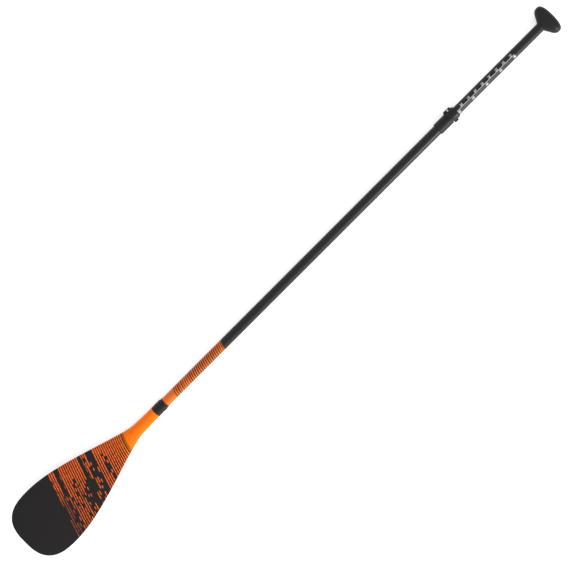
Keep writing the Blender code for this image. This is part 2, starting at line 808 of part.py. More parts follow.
def grip_half_width(x, inset):
    """A rounded bar with straight flanks that spread from the round stem."""
    if x > GRIP_CENTRE_X:
        return (GRIP_HALF_WIDTH - inset) * superellipse(grip_reach(x, inset), GRIP_POWER_UP)
    bar = (GRIP_HALF_WIDTH - inset) * superellipse(grip_reach(x, inset), GRIP_POWER_DOWN)
    flank = STEM_R + FLARE_SLOPE * (x - GRIP_START_X)
    return max(bar, min(flank, FLARE_LIMIT) - inset)


def grip_half_thickness(x, inset):
    """From the stem's radius, through the thick middle, to a thin rounded palm end."""
    if x > GRIP_CENTRE_X:
        return (GRIP_HALF_THICKNESS - inset) * superellipse(grip_reach(x, inset), GRIP_POWER_UP)
    swell = smooth_step(x, GRIP_START_X, GRIP_CENTRE_X)
    return STEM_R + (GRIP_HALF_THICKNESS - STEM_R) * swell - inset


def grip_ring(x, inset, steps):
    """A section of the grip across X: round at the stem and squarer in the bar."""
    half_width = grip_half_width(x, inset)
    half_thickness = grip_half_thickness(x, inset)
    squareness = smooth_step(x, GRIP_START_X, GRIP_CENTRE_X)
    power = GRIP_STEM_POWER + (GRIP_BAR_POWER - GRIP_STEM_POWER) * squareness
    ring = []
    for i in range(steps):
        angle = 2.0 * math.pi * i / steps
        across, up = math.cos(angle), math.sin(angle)
        y = half_width * math.copysign(abs(across) ** (2.0 / power), across)
        z = half_thickness * math.copysign(abs(up) ** (2.0 / power), up)
        ring.append(on_shaft(x, y, z))
    return ring


def grip_solid(shop, name, inset, steps, material=None):
    """The grip's outer form, or with an inset the hollow in it."""
    low = GRIP_START_X + inset
    high = GRIP_END_X - inset - END_CUT
    rings = []
    for i in range(GRIP_STATIONS + 1):
        x = low + (high - low) * 0.5 * (1.0 - math.cos(math.pi * i / GRIP_STATIONS))
        rings.append(grip_ring(x, inset, steps))
    return shop.loft(name, rings, material)


def t_grip(shop):
    """Two half shells bonded along the middle plane."""
    stem_bore = shop.cylinder(
        "stem_bore", on_shaft(GRIP_START_X + CUT_MARGIN, 0.0, 0.0), (1.0, 0.0, 0.0),
        TONGUE_R + GAP, STEM_BORE_LENGTH, None, ROUND_STEPS,
    )
    hollow = grip_solid(shop, "grip_hollow", GRIP_WALL, GRIP_HOLLOW_STEPS)
    for name, low_z, high_z in (
        ("t_grip_front_shell", GAP / 2, GRIP_BOX_HALF_THICKNESS),
        ("t_grip_back_shell", -GRIP_BOX_HALF_THICKNESS, -GAP / 2),
    ):
        shell = grip_solid(shop, name, 0.0, GRIP_STEPS, "grip_nylon")
        half = shop.block(
            f"{name}_half",
            on_shaft(GRIP_START_X - CUT_MARGIN, -GRIP_BOX_HALF_WIDTH, low_z),
            on_shaft(GRIP_END_X + CUT_MARGIN, GRIP_BOX_HALF_WIDTH, high_z),
        )
        shop.combine(shell, half, "INTERSECT")
        shop.combine(shell, hollow)
        shop.combine(shell, stem_bore)


def main():
    clear_scene()
    shop = Workshop()
    blade_skins(shop)
    blade_core(shop)
    ferrule(shop)
    snap_parts(shop)
    main_shaft(shop)
    clamp_sleeve(shop)
    clamp_band(shop)
    clamp_bolt(shop)
    cam_washer(shop)
    barrel_nut(shop)
    clamp_lever(shop)
    upper_shaft(shop)
    t_grip(shop)


main()
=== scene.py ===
"""Looks of the adjustable single blade paddle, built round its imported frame.

All sizes are in metres, in the frame's own axes: shaft along X, blade at -X, front face up.
"""

import math

import bmesh
import bpy
from mathutils import Matrix, Vector
from mathutils.geometry import interpolate_bezier


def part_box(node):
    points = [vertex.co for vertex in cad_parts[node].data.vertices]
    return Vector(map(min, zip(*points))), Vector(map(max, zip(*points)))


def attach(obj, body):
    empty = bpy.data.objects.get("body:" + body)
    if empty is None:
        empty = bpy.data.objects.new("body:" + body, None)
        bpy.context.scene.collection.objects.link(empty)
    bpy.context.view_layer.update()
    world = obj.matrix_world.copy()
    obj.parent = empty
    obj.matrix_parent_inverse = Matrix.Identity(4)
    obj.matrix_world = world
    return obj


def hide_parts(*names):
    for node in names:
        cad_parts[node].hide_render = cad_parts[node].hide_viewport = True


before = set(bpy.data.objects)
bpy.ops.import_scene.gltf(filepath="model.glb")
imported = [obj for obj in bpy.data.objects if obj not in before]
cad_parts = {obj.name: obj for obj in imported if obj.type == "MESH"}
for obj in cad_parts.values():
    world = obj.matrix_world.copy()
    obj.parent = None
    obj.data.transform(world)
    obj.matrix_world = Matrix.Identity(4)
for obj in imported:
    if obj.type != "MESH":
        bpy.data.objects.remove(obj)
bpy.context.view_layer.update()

# The shaft's axis and the frame's own planes
TUBE_LOW, TUBE_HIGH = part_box("main_tube")
SHAFT_Z = (TUBE_LOW.z + TUBE_HIGH.z) / 2
END_CUT = 0.0003
TIP_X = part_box("blade_front_skin")[0].x - END_CUT
GRIP_END_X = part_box("t_grip_front_shell")[1].x + END_CUT
UPPER_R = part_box("upper_tube")[1].y
GAP = 0.0003
ALONG = Vector((1.0, 0.0, 0.0))
UP = Vector((0.0, 0.0, 1.0))
TURN_STEPS = 96
SMALL_TURN_STEPS = 48
SHARP_DEGREES = 32.0
FILLET_STEPS = 4
FILLET_SHARE_LIMIT = 0.45

# Blade: distances are measured from the tip
BLADE_HALF_WIDTH = 0.0958
TIP_LENGTH = 0.103
TIP_POWER = 2.78
SHOULDER_END = 0.4395
SHOULDER_HALF_WIDTH = 0.0176
SHOULDER_LEAD_IN = 0.112
SHOULDER_LEAD_OUT = 0.057
NECK_END = 0.5043
NECK_R = 0.0162
NECK_SWELL = 0.0003
NECK_WALL = 0.0032
EDGE_HALF_THICKNESS = 0.0016
CROWN = 0.0026
SPINE_HEIGHT = 0.0030
SPINE_HALF_WIDTH = 0.014
SPINE_FADE_START = 0.14
EDGE_POWER = 6
SPINE_EDGE_POWER = 4
NECK_BLEND_START = 0.31
CANT_DEGREES = 8.0
CANT_START = 0.330
CANT_END = 0.440
SKIN = 0.0010
RIM_LAND = 0.0040
WALL_BLEND_START = 0.360
WALL_BLEND_END = 0.4295
CAVITY_START = 0.010
LEAST_HOLLOW_SHARE = 0.2
TIP_FADE_LENGTH = 0.030
TIP_STATIONS = 36
SHOULDER_STATIONS = 72
NECK_STATIONS = 8
ACROSS_STEPS = 48

# Tubes, collar and snap button
MAIN_BORE_R = 0.0128
THIN_BORE_R = 0.0115
TUBE_LIP = 0.0003
COLLAR_STEP_X = -0.4647
COLLAR_LIP_R = 0.0148
COLLAR_BORE_R = 0.0143
COLLAR_THROAT_R = 0.0129
COLLAR_THROAT_LENGTH = 0.0018
COLLAR_FILLET = 0.0007
BUTTON_X = -0.4800
BUTTON_R = 0.0035
BUTTON_HOLE_R = 0.0039
BUTTON_DOME = 0.0012
BUTTON_DOME_STEPS = 9
BUTTON_CROWN = 0.0010
BUTTON_SLOT_WIDTH = 0.0063
BUTTON_HOLE_OUTER_Y = -0.0200
BUTTON_HOLE_INNER_Y = -0.0090

# Clamp
SLEEVE_CHAMFER = 0.0022
SLEEVE_FILLET = 0.0003
FINGER_NECK_R = 0.0134
STEP_LOW_X = 0.6189
STEP_HIGH_X = 0.6267
FINGER_R = 0.0142
FINGER_BORE_R = 0.0129
FINGER_COUNT = 6
SLOT_WIDTH = 0.0016
SLOT_START_X = 0.6290
BORE_STEP_X = 0.6173
BAND_BORE_R = 0.0145
BAND_R = 0.0165
BAND_FILLET = 0.0010
BAND_DOME_LENGTH = 0.0060
BAND_DOME_STEPS = 10
SEAM_WIDTH = 0.0021
SEAM_STEP_DEGREES = 0.15
BAND_SPLIT = 0.0024
EAR_HALF_THICKNESS = 0.0075
EAR_BEVEL = 0.0011
EAR_BEVEL_SEGMENTS = 4
EAR_OUTLINE = (
    (0.6195, 0.0125), (0.6195, 0.0160), (0.6225, 0.0205), (0.6245, 0.0220), (0.6330, 0.0220),
    (0.6420, 0.0200), (0.6440, 0.0187), (0.6493, 0.0150), (0.6493, 0.0125),
)
BOLT_X = 0.6349
BOLT_Y = 0.0175
BOLT_R = 0.0020
BOLT_HOLE_R = 0.0023
BOLT_HEAD_R = 0.0028
BOLT_HEAD_HEIGHT = 0.0028
BOLT_EDGE = 0.0006
BOLT_EDGE_STEPS = 5
SOCKET_R = 0.0017
SOCKET_SIDES = 6
SOCKET_DEPTH = 0.0016
SPOT_FACE_R = 0.0043
SPOT_FACE_DEPTH = 0.0080
BARREL_Z = -0.0138
BARREL_R = 0.0030
BOLT_TAIL_INSET = 0.0006
CUT_MARGIN = 0.0020
CUT_REACH = 0.0300

# Cam lever
CAM_R = 0.0047
CAM_OFFSET = 0.0004
CAM_WIDTH = 0.0200
CAM_SLOT_WIDTH = 0.0052
CAM_SLOT_REACH = 0.0080
CAM_EDGE = 0.0007
ARM_INNER_R = 0.0170
ARM_OUTER_R = 0.0196
ARM_START_DEGREES = -36.0
ARM_END_DEGREES = -176.0
ARM_TIP_WIDTH = 0.0120
ARM_TAPER_START = 0.1
ARM_TAPER_END = 0.9
ARM_STATIONS = 84
ARM_CORNER_STEPS = 5
ARM_CORNER_R = 0.0008
ARM_END_ROUNDING = 0.0011
ARM_END_ROUNDING_DEGREES = 4.0
PAD_DEGREES = -90.0
PAD_HALF_DEGREES = 14.0
TIP_FLARE = 0.0012
TIP_FLARE_DEGREES = 24.0

# T-grip
STEM_R = 0.0126
GRIP_START_X = 0.9560
GRIP_CENTRE_X = 0.9824
GRIP_HALF_WIDTH = 0.0426
GRIP_HALF_LENGTH_DOWN = 0.0229
GRIP_HALF_LENGTH_UP = GRIP_END_X - GRIP_CENTRE_X
GRIP_HALF_THICKNESS = 0.0190
GRIP_POWER_DOWN = 2.1
GRIP_POWER_UP = 2.7
GRIP_STEM_POWER = 2.0
GRIP_BAR_POWER = 2.5
FLARE_SLOPE = 1.83
FLARE_LIMIT = 0.0298
GRIP_STATIONS = 64
GRIP_HALF_STEPS = 48
GRIP_HALF_SLIT = GAP / 6

# Length scale printed on the upper tube
SCALE_START_X = 0.6500
SCALE_END_X = 0.8575
SCALE_LINE_OFFSET = 0.0022
SCALE_LINE_WIDTH = 0.0008
SCALE_TOP_X = 0.6520
SCALE_TOP_LENGTH = 2.00
INCH = 0.0254
LABEL_HEIGHT = 0.0074
CM_LABELS = (200, 195, 190, 185, 180)
CM_LABEL_WIDTH = 0.0080
CM_LABEL_OFFSET = 0.0076
INCH_LABELS = (78, 77, 76, 75, 74, 73, 72, 71)
INCH_LABEL_WIDTH = 0.0070
INCH_LABEL_OFFSET = -0.0030
INK_THICKNESS = 0.00006
INK_SINK = 0.00003
WRAP_STRIP = 0.0005
WELD_DISTANCE = 0.00001

# Millimetres in a metre
MM = 1000.0

# Print on the blade, in millimetres from the tip along the slanted stripes.  A density is the share of
# dashes shown at a place, on the +Y (upper) and the -Y (lower) half.
STRIPE_SLANT = 0.33
STRIPE_PITCH = 6.5
STRIPE_WANDER = 1.6
PRINT_START = 130.0
PRINT_END = 400.0
UPPER_DENSITY = (
    (144, 0.0), (146, 1.0), (160, 1.0), (162, 0.06), (172, 0.10), (174, 1.0), (240, 1.0), (242, 0.0),
    (250, 0.0), (251, 1.0), (266, 0.9), (268, 0.05), (286, 0.05), (289, 1.0),
)
LOWER_DENSITY = (
    (143, 0.0), (146, 0.60), (172, 0.62), (175, 0.95), (194, 0.95), (198, 0.55), (206, 0.72), (232, 0.60),
    (238, 0.10), (250, 0.10), (254, 0.55), (272, 0.45), (276, 0.12), (286, 0.12), (289, 1.0), (304, 1.0),
    (307, 0.65), (318, 0.65), (321, 1.0),
)
BAND_START = 385.0
SOLID_START = 392.0
LOWER_HALF_START_Y = 46.0
LOWER_HALF_END_Y = -22.0
FAINT_START = 166.0
FAINT_END = 176.0
BAND_SOFTNESS = 2.0
NECK_COLOUR_START = 330.0
DASH_LENGTH_LEAST = 7.0
DASH_LENGTH_EXTRA = 6.0
DASH_RAGGEDNESS = 5.0
DASH_SHIFT = 60.0
BEAD_PITCH = 3.2

# Share of a stripe's pitch that is inked, which grows from SHARE_START to the band
SHARE_START = 170.0
SHARE_NEAR_TIP = 0.47
SHARE_NEAR_NECK = 0.62
SHARE_LOWER_HALF = -0.09
DASH_END_SHARE = 0.52
DASH_MIDDLE_EXTRA = 0.45
BEAD_SWING = 0.26

# Print on the main tube, in millimetres past the collar, and shares of the lines' pitch
TUBE_LINES_START = 36.0
TUBE_LINES_END = 225.0
TUBE_LINE_PITCH = 6.7
TUBE_LINE_WANDER = 0.9
TUBE_LINE_SHARE_LEAST = 0.36
TUBE_LINE_SHARE_EXTRA = 0.22

# Camera and light
AIM = Vector((0.0035, -0.0011, SHAFT_Z))
CAMERA_DISTANCE = 3.818
CAMERA_TILT_DEGREES = 7.28
CAMERA_ROLL_DEGREES = 45.0
LENS = 90.0
SENSOR = 36.0
FLOOR_SIZE = 20.0
FLOOR_WHITE = (0.93, 0.93, 0.93, 1.0)
FLOOR_ROUGHNESS = 0.9
WHITE = (1.0, 1.0, 1.0, 1.0)
WORLD_STRENGTH = 0.90
FLOOR_GLOW = 0.40
KEY_Y = -2.6
KEY_HEIGHT = 1.20
KEY_DEPTH = 0.7
KEY_LIGHTS = (
    ("key_by_grip", 0.95, 0.7, 62.0),
    ("key_by_blade", -0.60, 2.6, 24.0),
)


# ---- meshes

def new_object(name, bm):
    """An object with this mesh, linked to the scene.  The bmesh is used up."""
    mesh = bpy.data.meshes.new(name)
    bm.to_mesh(mesh)
    bm.free()
    made = bpy.data.objects.new(name, mesh)
    bpy.context.scene.collection.objects.link(made)
    return made


def smooth(made):
    """Smooth shading, except across edges sharper than SHARP_DEGREES."""
    for face in made.data.polygons:
        face.use_smooth = True
    made.data.set_sharp_from_angle(angle=math.radians(SHARP_DEGREES))


def rounded(profile, radius):
    """A closed loop of (x, radius) points with each corner turned into a small fillet."""
    points = [Vector(point) for point in profile]
    loop = []
    for i, corner in enumerate(points):
        before = points[i - 1] - corner
        after = points[(i + 1) % len(points)] - corner
        cut = min(radius, FILLET_SHARE_LIMIT * before.length, FILLET_SHARE_LIMIT * after.length)
        start = corner + before.normalized() * cut
        end = corner + after.normalized() * cut
        for k in range(FILLET_STEPS + 1):
            t = k / FILLET_STEPS
            loop.append(tuple((1 - t) ** 2 * start + 2 * t * (1 - t) * corner + t * t * end))
    return loop


def turned(name, profile_at, extra_turns=()):
    """A closed ring turned about the shaft's axis.  The profile may change with the angle about it."""
    origin = on_shaft(0.0, 0.0, 0.0)
    angles = sorted([2.0 * math.pi * i / TURN_STEPS for i in range(TURN_STEPS)] + list(extra_turns))
    bm = bmesh.new()
    rings = []
    for angle in angles:
        across = Vector((0.0, math.cos(angle), math.sin(angle)))
        rings.append([
            bm.verts.new(origin + (ALONG * x + across * radius)) for x, radius in profile_at(angle)
        ])
    join_rings(bm, rings + rings[:1])
    bmesh.ops.recalc_face_normals(bm, faces=bm.faces)
    return new_object(name, bm)


def join_rings(bm, rings):
    """Quads between closed rings that all have the same number of points."""
    for near, far in zip(rings, rings[1:]):
        for i, _ in enumerate(near):
            j = (i + 1) % len(near)
            bm.faces.new((near[i], near[j], far[j], far[i]))


def lofted(name, rings):
    """A closed solid through rings of points, with a flat face at each end."""
    bm = bmesh.new()
    loops = [[bm.verts.new(point) for point in ring] for ring in rings]
    join_rings(bm, loops)
    bm.faces.new(loops[0])
    bm.faces.new(loops[-1])
    bmesh.ops.recalc_face_normals(bm, faces=bm.faces)
    return new_object(name, bm)


def solid_turned(name, profile, origin, axis, steps=SMALL_TURN_STEPS):
    """A solid turned about an axis from open (height, radius) points, with a flat face at each end."""
    turn = UP.rotation_difference(axis).to_matrix()
    rings = []
    for height, radius in profile:
        rings.append([
            origin + turn @ Vector((
                radius * math.cos(2.0 * math.pi * i / steps),
                radius * math.sin(2.0 * math.pi * i / steps),
                height,
            ))
            for i in range(steps)
        ])
    return lofted(name, rings)


def rod(name, centre, axis, radius, length, steps=SMALL_TURN_STEPS):
    """A plain cylinder with its middle at the centre."""
    profile = ((-length / 2, radius), (length / 2, radius))
    return solid_turned(name, profile, Vector(centre), Vector(axis), steps)


def block(name, low, high):
    """A box between two corners."""
    bm = bmesh.new()
    bmesh.ops.create_cube(bm, size=1.0)
    low, high = Vector(low), Vector(high)
    bmesh.ops.scale(bm, vec=high - low, verts=bm.verts)
    bmesh.ops.translate(bm, vec=(low + high) / 2, verts=bm.verts)
    return new_object(name, bm)


def settle(made):
    """Puts what the modifiers make into the mesh itself."""
    bpy.context.view_layer.update()
    evaluated = made.evaluated_get(bpy.context.evaluated_depsgraph_get())
    mesh = bpy.data.meshes.new_from_object(evaluated)
    made.modifiers.clear()
    made.data = mesh
    mesh.name = made.name


def combine(made, others, operation="DIFFERENCE"):
    """Joins or cuts with the other solids, which are used up."""
    for other in others:
        modifier = made.modifiers.new("combine", "BOOLEAN")
        modifier.operation = operation
        modifier.solver = "EXACT"
        modifier.object = other
    settle(made)
    for other in others:
        bpy.data.objects.remove(other, do_unlink=True)


def place(made, body, slot, material, *nodes):
    """Gives a finished piece its material, its body and the nodes it stands for."""
    made.data.materials.clear()
    made.data.materials.append(material)
    smooth(made)
    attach(made, body)
    if nodes:
        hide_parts(*nodes)


def on_shaft(x, y, z):
    """A point given from the shaft's axis."""
    return Vector((x, y, SHAFT_Z + z))


def smooth_step(value, start, end):
    """Smoothly from 0 to 1 as the value goes from start to end."""
    t = min(max((value - start) / (end - start), 0.0), 1.0)
    return t * t * (3.0 - 2.0 * t)


def superellipse(fraction, power):
    """Height, from 0 to 1, of a superellipse at this fraction of its half width."""
    return (1.0 - min(abs(fraction), 1.0) ** power) ** (1.0 / power)


# ---- material nodes

class Graph:
    """A material's node tree, with short calls for the nodes that the materials share."""

    def __init__(self, name, metallic=0.0, specular=0.5):
        self.material = bpy.data.materials.new(name)
        self.material.use_nodes = True
        self.tree = self.material.node_tree
        self.shader = self.tree.nodes["Principled BSDF"]
        self.shader.inputs["Metallic"].default_value = metallic
        self.shader.inputs["Specular IOR Level"].default_value = specular
        self.place = self.tree.nodes.new("ShaderNodeTexCoord").outputs["Object"]
        split = self.tree.nodes.new("ShaderNodeSeparateXYZ")
        self.tree.links.new(self.place, split.inputs[0])
        self.x, self.y, self.z = split.outputs

    def feed(self, socket, value):
        """Links another node's output, or sets a plain value."""
        if isinstance(value, bpy.types.NodeSocket):
            self.tree.links.new(value, socket)
        else:
            socket.default_value = value

    def math(self, operation, *values):
        node = self.tree.nodes.new("ShaderNodeMath")
        node.operation = operation
        for socket, value in zip(node.inputs, values):
            self.feed(socket, value)
        return node.outputs[0]

    def add(self, a, b):
        return self.math("ADD", a, b)

    def times(self, a, b):
        return self.math("MULTIPLY", a, b)

    def below(self, a, b):
        return self.math("LESS_THAN", a, b)

    def ramp_to(self, value, start, end, low=0.0, high=1.0):
        """Smoothly from low to high as the value goes from start to end."""
        node = self.tree.nodes.new("ShaderNodeMapRange")
        node.interpolation_type = "SMOOTHSTEP"
        for name, given in (
            ("Value", value), ("From Min", start), ("From Max", end), ("To Min", low), ("To Max", high),
        ):
            self.feed(node.inputs[name], given)
        return node.outputs["Result"]

    def levels(self, value, stops, start, end):
        """Straight lines through (value, level) stops."""
        node = self.tree.nodes.new("ShaderNodeValToRGB")
        share = self.tree.nodes.new("ShaderNodeMapRange")
        for name, given in (("Value", value), ("From Min", start), ("From Max", end)):
            self.feed(share.inputs[name], given)
        self.tree.links.new(share.outputs["Result"], node.inputs["Fac"])
        elements = node.color_ramp.elements
        elements.remove(elements[1])
        for i, (place, level) in enumerate(stops):
            spot = (place - start) / (end - start)
            if i == 0:
                element = elements[0]
                element.position = spot
            else:
                element = elements.new(spot)
            element.color = (level, level, level, 1.0)
        return node.outputs["Color"]

    def mix(self, share, a, b):
        node = self.tree.nodes.new("ShaderNodeMix")
        node.data_type = "RGBA"
        colours = [socket for socket in node.inputs if socket.type == "RGBA"]
        self.feed(node.inputs[0], share)
        self.feed(colours[0], a)
        self.feed(colours[1], b)
        return next(socket for socket in node.outputs if socket.type == "RGBA")

    def blend(self, share, a, b):
        """A plain number, share of the way from a to b."""
        return self.add(a, self.times(share, self.add(b, self.times(a, -1.0))))

    def swing(self, value, size):
        """A number from 0 to 1 turned into one that is centred on 0 and this size from end to end."""
        return self.times(self.add(value, -0.5), size)

    def noise(self, scale, detail, vector=None):
        node = self.tree.nodes.new("ShaderNodeTexNoise")
        node.inputs["Scale"].default_value = scale
        node.inputs["Detail"].default_value = detail
        self.tree.links.new(vector or self.place, node.inputs["Vector"])
        return node.outputs["Fac"]

    def random(self, a, b):
        """A number from 0 to 1 that depends only on the two numbers."""
        join = self.tree.nodes.new("ShaderNodeCombineXYZ")
        self.feed(join.inputs[0], a)
        self.feed(join.inputs[1], b)
        node = self.tree.nodes.new("ShaderNodeTexWhiteNoise")
        node.noise_dimensions = "2D"
        self.tree.links.new(join.outputs[0], node.inputs["Vector"])
        return node.outputs["Value"]

    def stretched(self, x, y, z):
        """The object's coordinates, scaled along each axis."""
        node = self.tree.nodes.new("ShaderNodeMapping")
        node.inputs["Scale"].default_value = (x, y, z)
        self.tree.links.new(self.place, node.inputs["Vector"])
        return node.outputs[0]

    def bump(self, height, distance):
        node = self.tree.nodes.new("ShaderNodeBump")
        node.inputs["Distance"].default_value = distance
        self.tree.links.new(height, node.inputs["Height"])
        self.tree.links.new(node.outputs[0], self.shader.inputs["Normal"])

    def finish(self, colour, roughness):
        self.feed(self.shader.inputs["Base Color"], colour)
        self.feed(self.shader.inputs["Roughness"], roughness)
        return self.material


BLACK_SKIN = (0.0155, 0.0142, 0.0140, 1.0)
TUBE_BLACK = (0.0060, 0.0057, 0.0057, 1.0)
TUBE_GREY = (0.0150, 0.0142, 0.0142, 1.0)
STRIPE_RED = (0.74, 0.112, 0.012, 1.0)
# Painted light: each orange comes in two copies. The redder one is painted shade for the +Y side. The
# yellower one is a painted highlight for the -Y side, where the key lamps shine, and on the neck it is also
# lighter.
NECK_ORANGE_SHADED_SIDE = (0.86, 0.155, 0.005, 1.0)
NECK_ORANGE_LIT_SIDE = (0.93, 0.165, 0.0004, 1.0)
TUBE_ORANGE_SHADED_SIDE = (0.68, 0.122, 0.012, 1.0)
TUBE_ORANGE_LIT_SIDE = (0.62, 0.140, 0.0004, 1.0)
OLIVE = (0.20, 0.080, 0.006, 1.0)
FAINT = (0.105, 0.034, 0.020, 1.0)
LINE_BROWN = (0.012, 0.004, 0.002, 1.0)
STEEL_DARK = (0.46, 0.46, 0.48, 1.0)
STEEL_LIGHT = (0.62, 0.62, 0.64, 1.0)
FOAM_DARK = (0.62, 0.58, 0.47, 1.0)
FOAM_LIGHT = (0.80, 0.77, 0.68, 1.0)
FAINT_SHARE = 0.72
OLIVE_SHARE = 0.85

# Half the width, in metres, over which the orange goes from redder to yellower: painted light, from the +Y
# side left in shade to the -Y side that the key lamps light
NECK_ORANGE_REACH = 0.016
TUBE_ORANGE_REACH = 0.014

# Noise: scale and detail
WANDER_NOISE = (110.0, 2.0)
RAGGED_NOISE = (260.0, 1.0)
SKIN_NOISE = (60.0, 5.0)
SKIN_GRAIN = (2600.0, 2.0)
LINE_NOISE = (160.0, 1.0)
CLOTH_NOISE = (300.0, 2.0)
CLOUD_NOISE = (90.0, 4.0)
LATHE_NOISE = (700.0, 2.0)

# Other textures
LATHE_STRETCH = (0.2, 1.0, 6.0)
GRAIN_DETAIL = 3.0
FOAM_CELL_SCALE = 900.0

# Second number of the draws made once for a stripe or a line
LENGTH_SEED = 3.0
SHIFT_SEED = 7.0
LINE_SEED = 2.0

# Cloth of the tubes: tows round the tube, and metres along it that one tow takes
MAIN_CLOTH = (26.0, 0.00338)
THIN_CLOTH = (24.0, 0.0033)

# Depth of the relief in metres, and shares of it
PRINT_RELIEF = 0.00003
CLOTH_RELIEF = 0.00002
LATHE_RELIEF = 0.000008
FOAM_RELIEF = 0.0002
SKIN_GRAIN_SHARE = 0.5
BLADE_INK_SHARE = 0.6
MAIN_CLOTH_SHARE = 0.7
TUBE_INK_SHARE = 0.4

# Gloss
BLADE_SPECULAR = 0.10
TUBE_SPECULAR = 0.28
MOULDED_SPECULAR = 0.25
FOAM_SPECULAR = 0.2
SKIN_ROUGHNESS = 0.56
BLADE_INK_ROUGHNESS = 0.42
SKIN_ROUGHNESS_SWING = 0.12
MAIN_TUBE_ROUGHNESS = 0.33
THIN_TUBE_ROUGHNESS = 0.32
CLOTH_ROUGHNESS_EXTRA = 0.10
TUBE_INK_ROUGHNESS = 0.38
MOULDED_ROUGHNESS_SWING = 0.14
STEEL_ROUGHNESS = 0.16
STEEL_ROUGHNESS_EXTRA = 0.14
FOAM_ROUGHNESS = 0.9

# Moulded looks: darkest and lightest colour, roughness, scale and depth of the grain
MOULDED = {
    "nylon": ((0.0060, 0.0052, 0.0060, 1.0), (0.0105, 0.0092, 0.0104, 1.0), 0.48, 900.0, 0.00003),
    "band": ((0.0060, 0.0058, 0.0060, 1.0), (0.0105, 0.0103, 0.0105, 1.0), 0.36, 1400.0, 0.00001),
    "grip": ((0.0055, 0.0052, 0.0055, 1.0), (0.0095, 0.0091, 0.0095, 1.0), 0.44, 1100.0, 0.00002),
    "acetal": ((0.76, 0.75, 0.71, 1.0), (0.82, 0.81, 0.78, 1.0), 0.42, 1500.0, 0.00001),
    "ink": ((0.78, 0.78, 0.78, 1.0), (0.86, 0.86, 0.86, 1.0), 0.5, 1500.0, 0.00001),
}


def orange(g, half_width, redder, yellower):
    """The print's orange with painted light across it: redder towards the +Y side as painted shade, yellower
    towards the -Y side, where the key lamps shine, as a painted highlight.
    """
    return g.mix(g.ramp_to(g.y, half_width, -half_width), redder, yellower)


def weave_height(g, tows_round, tow_length):
    """Height of a wound cloth of flat tows that cross each other round the tube."""
    angle = g.math("ARCTAN2", g.y, g.add(g.z, -SHAFT_Z))
    round_tube = g.times(angle, tows_round / (2.0 * math.pi))
    along = g.times(g.x, 1.0 / tow_length)
    waves = [
        g.math("SINE", g.times(g.add(along, g.times(round_tube, side)), math.pi)) for side in (1.0, -1.0)
    ]
    return g.add(g.times(g.times(waves[0], waves[1]), 0.5), 0.5)


def woven_black(g, weave):
    """Black cloth, greyer in places where a tow stands up."""
    return g.mix(g.times(weave, g.noise(*CLOTH_NOISE)), TUBE_BLACK, TUBE_GREY)


def blade_stripes(g, y_mm):
    """Millimetres from the tip along the slant, the stripe's number, and the share of the way across it."""
    from_tip = g.times(g.add(g.x, -TIP_X), MM)
    wander = g.swing(g.noise(*WANDER_NOISE), STRIPE_WANDER)
    along = g.add(g.add(from_tip, g.times(y_mm, -STRIPE_SLANT)), wander)
    count = g.times(along, 1.0 / STRIPE_PITCH)
    return along, g.math("FLOOR", count), g.math("FRACT", count)


def blade_dashes(g, y_mm, along, stripe, across, lower_half):
    """1 where a stripe is inked: each is a row of dashes of uneven width, some of them missing."""
    length = g.add(DASH_LENGTH_LEAST, g.times(g.random(stripe, LENGTH_SEED), DASH_LENGTH_EXTRA))
    ragged = g.times(g.noise(*RAGGED_NOISE), DASH_RAGGEDNESS)
    shifted = g.add(g.add(y_mm, ragged), g.times(g.random(stripe, SHIFT_SEED), DASH_SHIFT))
    dashes = g.math("DIVIDE", shifted, length)
    taper = g.math("SINE", g.times(g.math("FRACT", dashes), math.pi))
    slimmer = g.blend(lower_half, 1.0, g.add(DASH_END_SHARE, g.times(taper, DASH_MIDDLE_EXTRA)))
    widest = g.ramp_to(along, SHARE_START, BAND_START, SHARE_NEAR_TIP, SHARE_NEAR_NECK)
    share = g.add(widest, g.times(lower_half, SHARE_LOWER_HALF))
    bead = g.random(stripe, g.math("FLOOR", g.times(y_mm, 1.0 / BEAD_PITCH)))
    uneven = g.add(g.times(share, slimmer), g.swing(bead, BEAD_SWING))
    line = g.below(g.math("ABSOLUTE", g.add(g.times(across, 2.0), -1.0)), uneven)
    density = g.mix(
        lower_half,
        g.levels(along, UPPER_DENSITY, PRINT_START, PRINT_END),
        g.levels(along, LOWER_DENSITY, PRINT_START, PRINT_END),
    )
    return g.times(line, g.below(g.random(stripe, g.math("FLOOR", dashes)), density))


def blade_ink_colour(g, along, solid, lower_half):
    """Faint near the tip on the lower half, then red, an olive band, and orange at the neck."""
    neck_side = g.ramp_to(along, NECK_COLOUR_START, SOLID_START)
    # The neck's orange holds painted light: lighter and yellower towards the lit -Y side, redder towards +Y.
    bright = g.mix(neck_side, STRIPE_RED, orange(g, NECK_ORANGE_REACH, NECK_ORANGE_SHADED_SIDE, NECK_ORANGE_LIT_SIDE))
    faint = g.times(g.ramp_to(along, FAINT_END, FAINT_START), lower_half)
    stripes = g.mix(g.times(faint, FAINT_SHARE), bright, FAINT)
    in_band = g.times(solid, g.ramp_to(along, SOLID_START + BAND_SOFTNESS, SOLID_START - BAND_SOFTNESS))
    return g.mix(g.times(in_band, OLIVE_SHARE), stripes, OLIVE)


